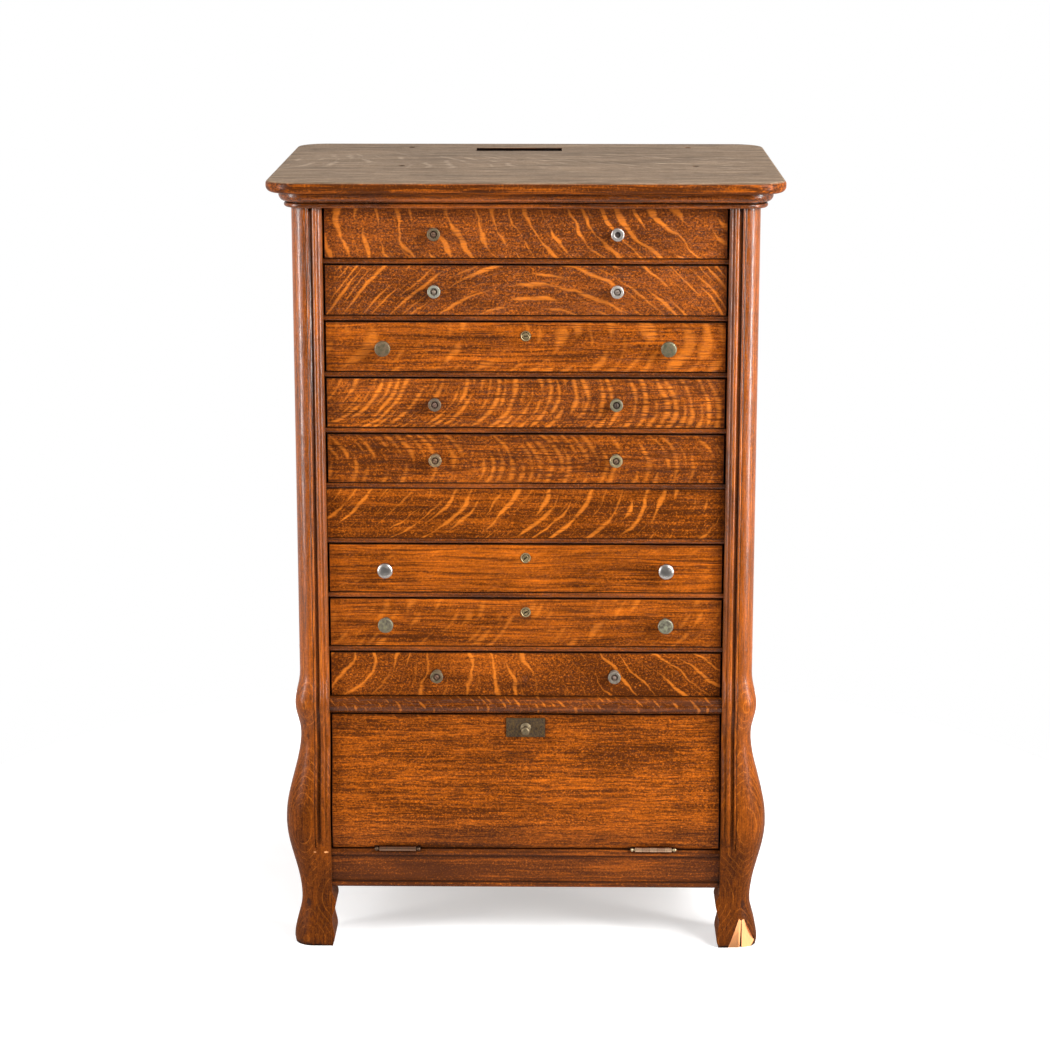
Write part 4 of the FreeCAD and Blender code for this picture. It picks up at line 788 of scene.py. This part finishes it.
class BASE_OT_fronts(Base, bpy.types.Operator):
    """Eight drawer fronts and the blank front, with their eased edges and old screw holes"""
    bl_idname = "base.fronts"
    bl_label = "Fronts"

    def execute(self, context):
        hole, plug = turned("hole", HOLE, 16), turned("plug", WOOD_PLUG, 32)
        for number in (*DRAWERS[:5], BLANK, *DRAWERS[5:]):
            node = "blank_front" if number == BLANK else f"drawer_{number}_front"
            middle, half, face_y = middle_of(node), half_of(node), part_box(node)[0].y
            finish = oak(f"oak_front_{number}", middle, seed=10.0 + number * 1.7, rim=(half.x, half.z),
                         marks=FRONT_MARKS.get(number, []), **figured(number))
            piece = self.eased(node, 0.6 * MM if number == BLANK else settings().timber.easing)
            if number in HOLED:
                cut_away(piece, copied(hole, (-0.001, face_y, middle.z + 0.003)))
            finish_piece(piece, body_of(node), finish, "oak", node)
            if number in PLUGGED:
                end_grain = oak(f"oak_plug_{number}", middle, "Y", "Z", pores=1.0, lightness=0.02,
                                seed=number)
                plugged = copied(plug, (-0.001, face_y, middle.z - 0.006))
                finish_piece(plugged, body_of(node), end_grain, "oak").name = f"drawer_{number}_plug"
        discard(hole, plug)
        return {"FINISHED"}

    def eased(self, node, width):
        """A merged copy with the edges of its outer box rounded on the front."""
        box = low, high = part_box(node)
        near = 0.01 * MM
        piece = merged_copy(node, node + "_dressed")
        edit()
        bpy.ops.mesh.dissolve_limited(angle_limit=radians(0.5))
        bpy.ops.mesh.select_all(action="DESELECT")
        mesh = bmesh.from_edit_mesh(piece.data)
        for edge in mesh.edges:
            ends = [vert.co for vert in edge.verts]
            faces = sum(all(abs(end[axis] - side[axis]) < near for end in ends)
                        for axis in range(3) for side in box)
            edge.select_set(faces >= 2 and all(abs(end.y - low.y) < near for end in ends))
        bmesh.update_edit_mesh(piece.data)
        bpy.ops.mesh.bevel(offset=width, segments=4, affect="EDGES")
        mode("OBJECT")
        return piece


# Painted shade along the grooves of the bottom rail, and the marks on the door, in the base's millimetres.
GROOVE_SHADE = ((0.0, 129.6, 900.0, 1.5, "dirt", 0.75), (0.0, 91.4, 900.0, 1.4, "dirt", 0.75))
DOOR_MARKS = ((-7.5, 271.0, 22.0, 12.0, "pore", 0.35), (-53.0, 227.5, 5.0, 4.0, "pore", 0.6),
              (60.0, 205.0, 120.0, 16.0, "pore", 0.15), (0.0, 160.0, 260.0, 16.0, "pore", 0.30))


class BASE_OT_rails(Base, bpy.types.Operator):
    """Rails between the fronts, the waist rail and the moulded bottom rail"""
    bl_idname = "base.rails"
    bl_label = "Rails"

    def execute(self, context):
        carry_oak("drawer_dividers", "oak_dividers", angle=MOULDED, pores=0.55, lightness=0.10, seed=30.0,
                  shine=0.26, gloss=0.28)
        carry_oak("waist_rail", "oak_waist", angle=MOULDED, seed=31.0, shine=0.24, **figured("waist"))
        carry_oak("bottom_rail", "oak_bottom", angle=MOULDED, pores=0.7, lightness=-0.03, bands=1.0,
                  seed=32.0, marks=from_middle("bottom_rail", GROOVE_SHADE), gloss=0.10)
        return {"FINISHED"}


class BASE_OT_door(Base, bpy.types.Operator):
    """The swelling drop front"""
    bl_idname = "base.door"
    bl_label = "Door"

    def execute(self, context):
        half = half_of("door_panel")
        carry_oak("door_panel", "oak_door", angle=MOULDED, seed=40.0, rim=(half.x, half.z),
                  marks=from_middle("door_panel", DOOR_MARKS), **figured("door"))
        return {"FINISHED"}


class BASE_OT_inside(Base, bpy.types.Operator):
    """Drawer boxes, runners, stops, boards and top rails"""
    bl_idname = "base.inside"
    bl_label = "Inside"

    def execute(self, context):
        for number in DRAWERS:
            carry(f"drawer_{number}_box", bare_wood(f"plain_box_{number}", "Y", number * 1.3), "plain_wood")
        for count, node in enumerate(("top_rails", "dust_board", "cupboard_floor", "drawer_stops")):
            carry(node, bare_wood(f"plain_{node}", "X", 20.0 + count), "plain_wood")
        carry("drawer_runners", bare_wood("plain_runners", "Y", 27.0), "plain_wood")
        return {"FINISHED"}


# The face of each knob, left and right: the shape of its middle, its rim, its skin, how much skin, and the
# colour of its middle, as worn by use.
KNOB_FACES = {
    1: (("slot", "tarnish", "bronze", 0.9, (0.115, 0.055, 0.030)),
        ("deep", "nickel", "nickel", 0.1, (0.045, 0.022, 0.015))),
    2: (("round", "pewter", "verdigris", 0.8, (0.160, 0.110, 0.075)),
        ("slot", "nickel", "grey", 0.6, (0.150, 0.110, 0.085))),
    3: (("flat", "tarnish", "bronze", 0.8, None), ("flat", "verdigris", "bronze", 0.6, None)),
    4: (("slot", "grey", "bronze", 0.9, (0.150, 0.080, 0.055)),
        ("slot", "grey", "tarnish", 0.9, (0.060, 0.035, 0.026))),
    5: (("slot", "brass", "bronze", 0.9, (0.150, 0.075, 0.040)),
        ("slot", "brass", "tarnish", 0.9, (0.105, 0.055, 0.033))),
    7: (("domed", "pewter", "grey", 0.25, None), ("domed", "pewter", "pewter", 0.1, None)),
    8: (("flat", "grey", "tarnish", 0.8, None), ("flat", "grey", "verdigris", 0.7, None)),
    9: (("slot", "tarnish", "bronze", 0.9, (0.150, 0.075, 0.045)),
        ("round", "grey", "grey", 0.9, (0.160, 0.105, 0.080))),
}
SKINS = {"verdigris": (0.200, 0.200, 0.125), "grey": (0.190, 0.160, 0.125), "pewter": (0.440, 0.410, 0.380)}
# Radius, length and profile of the small and the large knobs, and the profiles of their middles.
LARGE_STYLES = ("flat", "domed")
KNOB_FOOT = ((6.8, 0.0), (6.8, -1.5), (6.2, -2.4), (4.9, -3.0), (4.4, -3.8))
SMALL_KNOB = (8.75, 17.0, (*KNOB_FOOT, (4.4, -8.6), (5.0, -9.6), (6.8, -10.9), (8.2, -11.9), (8.65, -12.5),
                           (8.75, -13.4), (8.75, -15.6), (8.5, -16.4), (7.95, -16.9), (7.4, -17.0)))
LARGE_KNOB = (10.6, 20.0, (*KNOB_FOOT, (4.4, -11.4), (5.3, -12.6), (7.8, -13.9), (9.95, -14.9), (10.4, -15.5),
                           (10.6, -16.3)))
CUP = ((5.5, -17.0), (5.15, -16.7), (4.95, -16.0), (4.75, -14.9), (4.45, -14.6))
KNOB_MIDDLES = {
    "slot": (*CUP, (3.4, -14.5), (3.3, -15.2), (3.0, -15.7), (2.2, -16.1), (0.9, -16.3)),
    "round": (*CUP, (2.8, -14.5), (2.7, -15.6), (2.35, -16.3), (1.5, -16.8), (0.6, -17.0)),
    "deep": ((5.0, -17.0), (4.3, -16.7), (3.9, -16.0), (3.8, -12.5), (2.0, -12.4), (1.9, -12.9),
             (0.8, -13.1)),
    "flat": ((10.6, -17.6), (10.3, -18.6), (9.7, -19.3), (8.6, -19.7), (5.6, -19.9), (0.8, -20.0)),
    "domed": ((10.6, -16.6), (10.4, -17.2), (9.85, -17.9), (8.75, -18.6), (7.1, -19.2), (5.0, -19.65),
              (2.8, -19.9), (0.8, -20.0)),
}
KNOB_SCREW = ((1.2, 22.4), (3.4, 22.4), (4.0, 22.0), (4.2, 21.3), (4.2, 20.0), (2.0, 20.0), (2.0, -9.0))
# The corners of the blocks that cut the slots in a knob's middle and in its screw.
FACE_SLOT = ((-0.004, -0.0170, -0.00045), (0.004, -0.0155, 0.00045))
SCREW_SLOT = ((-0.005, 0.0213, -0.0005), (0.005, 0.0230, 0.0005))


class BASE_OT_knobs(Base, bpy.types.Operator):
    """The turned knobs of the drawers, each with the screw that holds it"""
    bl_idname = "base.knobs"
    bl_label = "Knobs"

    def execute(self, context):
        patterns = {}
        for style, middle in KNOB_MIDDLES.items():
            stem = (LARGE_KNOB if style in LARGE_STYLES else SMALL_KNOB)[2]
            patterns[style] = turned(f"knob_{style}", stem + middle, 64)
            if style == "slot":
                cut_away(patterns[style], slab("slot", *FACE_SLOT))
        screw = turned("knob_screw", KNOB_SCREW, 32)
        cut_away(screw, slab("slot", *SCREW_SLOT))
        tone = settings().metal
        steel = metal("steel_knob_screws", tone.steel, tone.grime, 0.6)
        for number in DRAWERS:
            node = f"drawer_{number}_knobs"
            low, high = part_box(node)
            faces = KNOB_FACES[number]
            radius, length, _ = LARGE_KNOB if faces[0][0] in LARGE_STYLES else SMALL_KNOB
            x = high.x - radius * MM
            pieces = []
            for side, sign, (style, bright, skin, share, core) in zip(("left", "right"), (-1, 1), faces):
                place = (sign * x, low.y + length * MM, (low.z + high.z) / 2)
                finish = metal(f"knob_{number}_{side}", self.shade(bright), self.shade(skin), share,
                               0.28 if style == "domed" else 0.36, number + sign * 0.3, core, place,
                               4.0 if style == "deep" else 4.7)
                turn = 0.9 * number + sign
                pieces.append(copied(patterns[style], place, finish, turn))
                pieces.append(copied(screw, place, steel, turn * 2.1))
            finish_piece(joined(f"{node}_turned", pieces), body_of(node), None,
                         "nickel" if number in (1, 7) else "brass", node)
        discard(*patterns.values(), screw)
        return {"FINISHED"}

    def shade(self, name):
        return SKINS.get(name) or getattr(settings().metal, name)


# How far each lock's key slot is turned, in degrees, and the profiles of the ring and the plug.
LOCK_TURNS = {3: 0.0, 7: 45.0, 8: 30.0}
LOCK_RING = ((6.0, 11.0), (6.0, 0.0), (7.0, 0.0), (7.0, -0.45), (6.75, -0.85), (6.3, -1.0), (5.7, -0.95),
             (5.2, -0.6), (4.9, 0.2), (4.28, 0.3), (4.28, 11.0), (6.0, 11.0))
LOCK_PLUG = ((4.2, 11.4), (4.2, -0.35), (4.0, -0.75), (3.5, -0.98), (0.6, -1.0))
KEY_SLOT = ((-0.0030, -0.0020, -0.0008), (0.0030, 0.0090, 0.0008))


class BASE_OT_locks(Base, bpy.types.Operator):
    """Rings, cases, plugs and bolts of the three locks"""
    bl_idname = "base.locks"
    bl_label = "Locks"

    def execute(self, context):
        ring = turned("lock_ring", LOCK_RING, 64, hollow=True)
        plug = turned("lock_plug", LOCK_PLUG, 48)
        cut_away(plug, slab("slot", *KEY_SLOT))
        for number, turn in LOCK_TURNS.items():
            case, core, bolt = (f"drawer_{number}_lock_{part}" for part in ("case", "plug", "bolt"))
            low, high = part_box(core)
            centre = ((low.x + high.x) / 2, low.y + 0.001, (low.z + high.z) / 2)
            finish = self.brass("case", number, 0.45, 0.30, 0.0)
            box = self.case_box(case, bolt)
            give(box, finish)
            finish_piece(joined(case + "_dressed", [box, copied(ring, centre, finish)]), body_of(case), None,
                         "brass", case)
            piece = copied(plug, centre, self.brass("plug", number, 0.4, 0.32, 0.5), -radians(turn))
            finish_piece(piece, body_of(core), None, "brass", core).name = core + "_turned"
            carry(bolt, self.brass("bolt", number, 0.5, 0.3, 0.7), "brass")
        discard(ring, plug)
        return {"FINISHED"}

    def brass(self, part, number, tarnish, rough, shift):
        tone = settings().metal
        return metal(f"brass_{part}_{number}", tone.brass, tone.tarnish, tarnish, rough, number + shift)

    def case_box(self, case, bolt):
        """The case behind the front, with the channel of its bolt."""
        low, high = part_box(case)
        box = slab("lock_case", (low.x, high.y - 0.008, low.z), high, 0.5 * MM)
        start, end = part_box(bolt)
        room = Vector((0.0002,) * 3)
        cut_away(box, slab("channel", start - room, Vector((end.x, end.y, high.z + 0.002)) + room))
        return box


# The bare metal of each part of the hinges, on the right and on the left, which has gone browner.
HINGE_METALS = {
    "hinge_frame_leaves": ((0.62, 0.40, 0.25), (0.260, 0.140, 0.085)),
    "hinge_door_leaves": ((0.50, 0.30, 0.19), (0.260, 0.140, 0.085)),
    "hinge_pins": ((0.50, 0.38, 0.22), (0.090, 0.055, 0.035)),
}


class BASE_OT_hinges(Base, bpy.types.Operator):
    """The two hinges with their pins and screws"""
    bl_idname = "base.hinges"
    bl_label = "Hinges"

    def execute(self, context):
        tone = settings().metal
        for node, (bright, left) in HINGE_METALS.items():
            finish = metal(f"brass_{node}", bright, tone.bronze, 0.25, 0.26, len(node), left=left)
            carry(node, finish, "brass")
        for node in ("hinge_frame_screws", "hinge_door_screws"):
            carry(node, metal(f"steel_{node}", tone.steel, tone.grime, seed=len(node)), "steel")
        return {"FINISHED"}


# The bare metal and the skin of the latch's plate and knob.
LATCH_PLATE = ((0.150, 0.092, 0.036), (0.030, 0.016, 0.007))
LATCH_KNOB = ((0.230, 0.175, 0.100), (0.085, 0.060, 0.033))


class BASE_OT_latch(Base, bpy.types.Operator):
    """Latch plate with its nails, the turning knob and the strike"""
    bl_idname = "base.latch"
    bl_label = "Latch"

    def execute(self, context):
        tone = settings().metal
        carry("latch_plate", metal("brass_latch_plate", *LATCH_PLATE, 0.85, 0.46, 3.0), "brass")
        carry("latch_knob", metal("brass_latch_knob", *LATCH_KNOB, 0.5, 0.38, 4.0), "brass")
        carry("latch_strike", metal("brass_latch_strike", tone.brass, tone.bronze, 0.6, 0.4, 5.0), "brass")
        return {"FINISHED"}


SENSOR = 36.0
FLOOR_MIDDLE = (0.0, 0.1, 0.0)
# Each lamp: its place, what it looks at, its width and height, the setting of its power and a share of it.
LAMPS = {
    "key": ((2.1, -2.3, 2.4), (0.0, 0.0, 0.72), (1.1, 1.1), "key", 1.0),
    "fill": ((-2.5, -1.6, 1.4), (0.0, 0.0, 0.6), (1.8, 1.8), "fill", 1.0),
    "left": ((-2.2, -1.3, 1.0), (-0.2, -0.1, 0.7), (0.4, 1.8), "sides", 1.0),
    "right": ((2.2, -1.3, 1.0), (0.2, -0.1, 0.7), (0.4, 1.8), "sides", 1.6),
}


class BASE_OT_stage(Base, bpy.types.Operator):
    """Camera, floor, room light and lamps"""
    bl_idname = "base.stage"
    bl_label = "Stage"

    def execute(self, context):
        stage = settings().stage
        scene = context.scene
        scene.view_settings.view_transform = "Standard"
        bpy.ops.object.camera_add(location=stage.location, rotation=(pi / 2 - stage.pitch, 0.0, stage.yaw))
        camera = context.object
        camera.name = "camera"
        camera.data.sensor_width = SENSOR
        camera.data.lens = SENSOR * stage.focal
        camera.data.clip_end = 50.0
        scene.camera = camera
        bpy.ops.mesh.primitive_circle_add(vertices=128, radius=1.0, fill_type="NGON", location=FLOOR_MIDDLE)
        floor = context.object
        floor.name = "floor"
        settle()
        floor.data.materials.append(self.floor_finish())
        for name, (place, aim, size, power, share) in LAMPS.items():
            self.lamp(name, place, aim, size, getattr(stage, power) * share)
        self.room(scene, stage.sky)
        return {"FINISHED"}

    def lamp(self, name, place, aim, size, power):
        """An area lamp; size is its width and its height."""
        bpy.ops.object.light_add(type="AREA", location=place)
        lamp = bpy.context.object
        lamp.name = name
        lamp.data.shape = "RECTANGLE"
        lamp.data.size, lamp.data.size_y = size
        lamp.data.energy = power
        lamp.rotation_euler = (Vector(aim) - Vector(place)).to_track_quat("-Z", "Y").to_euler()

    def floor_finish(self):
        """Pale floor that keeps the shadow near the base and goes into the white of the room at its rim."""
        f = Finish("floor_pale")
        place = f.place(FLOOR_MIDDLE)
        grit = f.line(f.noise(place, 0.02, 3.0), 0.3, 0.7)
        far = f.add("VectorMath", (0, place), operation="LENGTH").outputs["Value"]
        glow = f.times(f.seen(), f.line(far, 600.0, 950.0, 0.46, 1.0))
        f.surface(Base_Color=f.blend(grit, (0.66, 0.66, 0.66), (0.70, 0.70, 0.70)), Roughness=0.8,
                  Emission_Color=(1.0, 1.0, 1.0), Emission_Strength=glow)
        return f.material

    def room(self, scene, strength):
        """White all round to the camera, and as light darker towards the front, where the camera stands."""
        scene.world = bpy.data.worlds.new("room")
        scene.world.use_nodes = True
        n = Nodes(scene.world.node_tree)
        back = n.parts(n.add("TexCoord").outputs["Generated"])[1]
        lit = n.line(back, -0.90, -0.20, 0.12 * strength, strength)
        level = n.add("Mix", (0, n.seen()), (2, lit), (3, 1.0)).outputs[0]
        sky = n.add("Background", (0, (1.0, 1.0, 1.0)), (1, level))
        n.add("OutputWorld", (0, sky.outputs[0]))


OPERATORS = (BASE_OT_top, BASE_OT_legs, BASE_OT_sides, BASE_OT_back, BASE_OT_fronts, BASE_OT_rails,
             BASE_OT_door, BASE_OT_inside, BASE_OT_knobs, BASE_OT_locks, BASE_OT_hinges, BASE_OT_latch,
             BASE_OT_stage)


class BASE_PT_panel(bpy.types.Panel):
    """The pieces of the base, in the order in which they are made."""
    bl_label = "Register base"
    bl_idname = "BASE_PT_panel"
    bl_space_type = "VIEW_3D"
    bl_region_type = "UI"
    bl_category = "Register base"

    def draw(self, context):
        for operator in OPERATORS:
            self.layout.operator(operator.bl_idname)
        for group in ("timber", "metal", "stage"):
            owner = getattr(settings(), group)
            box = self.layout.box()
            for name in owner.__annotations__:
                box.prop(owner, name)


CLASSES = (BASE_PG_timber, BASE_PG_metal, BASE_PG_stage, BASE_PG_settings, *OPERATORS, BASE_PT_panel)


def register():
    for group in CLASSES:
        bpy.utils.register_class(group)
    bpy.types.Scene.register_base = PointerProperty(type=BASE_PG_settings)


def unregister():
    del bpy.types.Scene.register_base
    for group in reversed(CLASSES):
        bpy.utils.unregister_class(group)


def main():
    register()
    for operator in OPERATORS:
        group, name = operator.bl_idname.split(".")
        getattr(getattr(bpy.ops, group), name)()


if __name__ == "__main__":
    main()
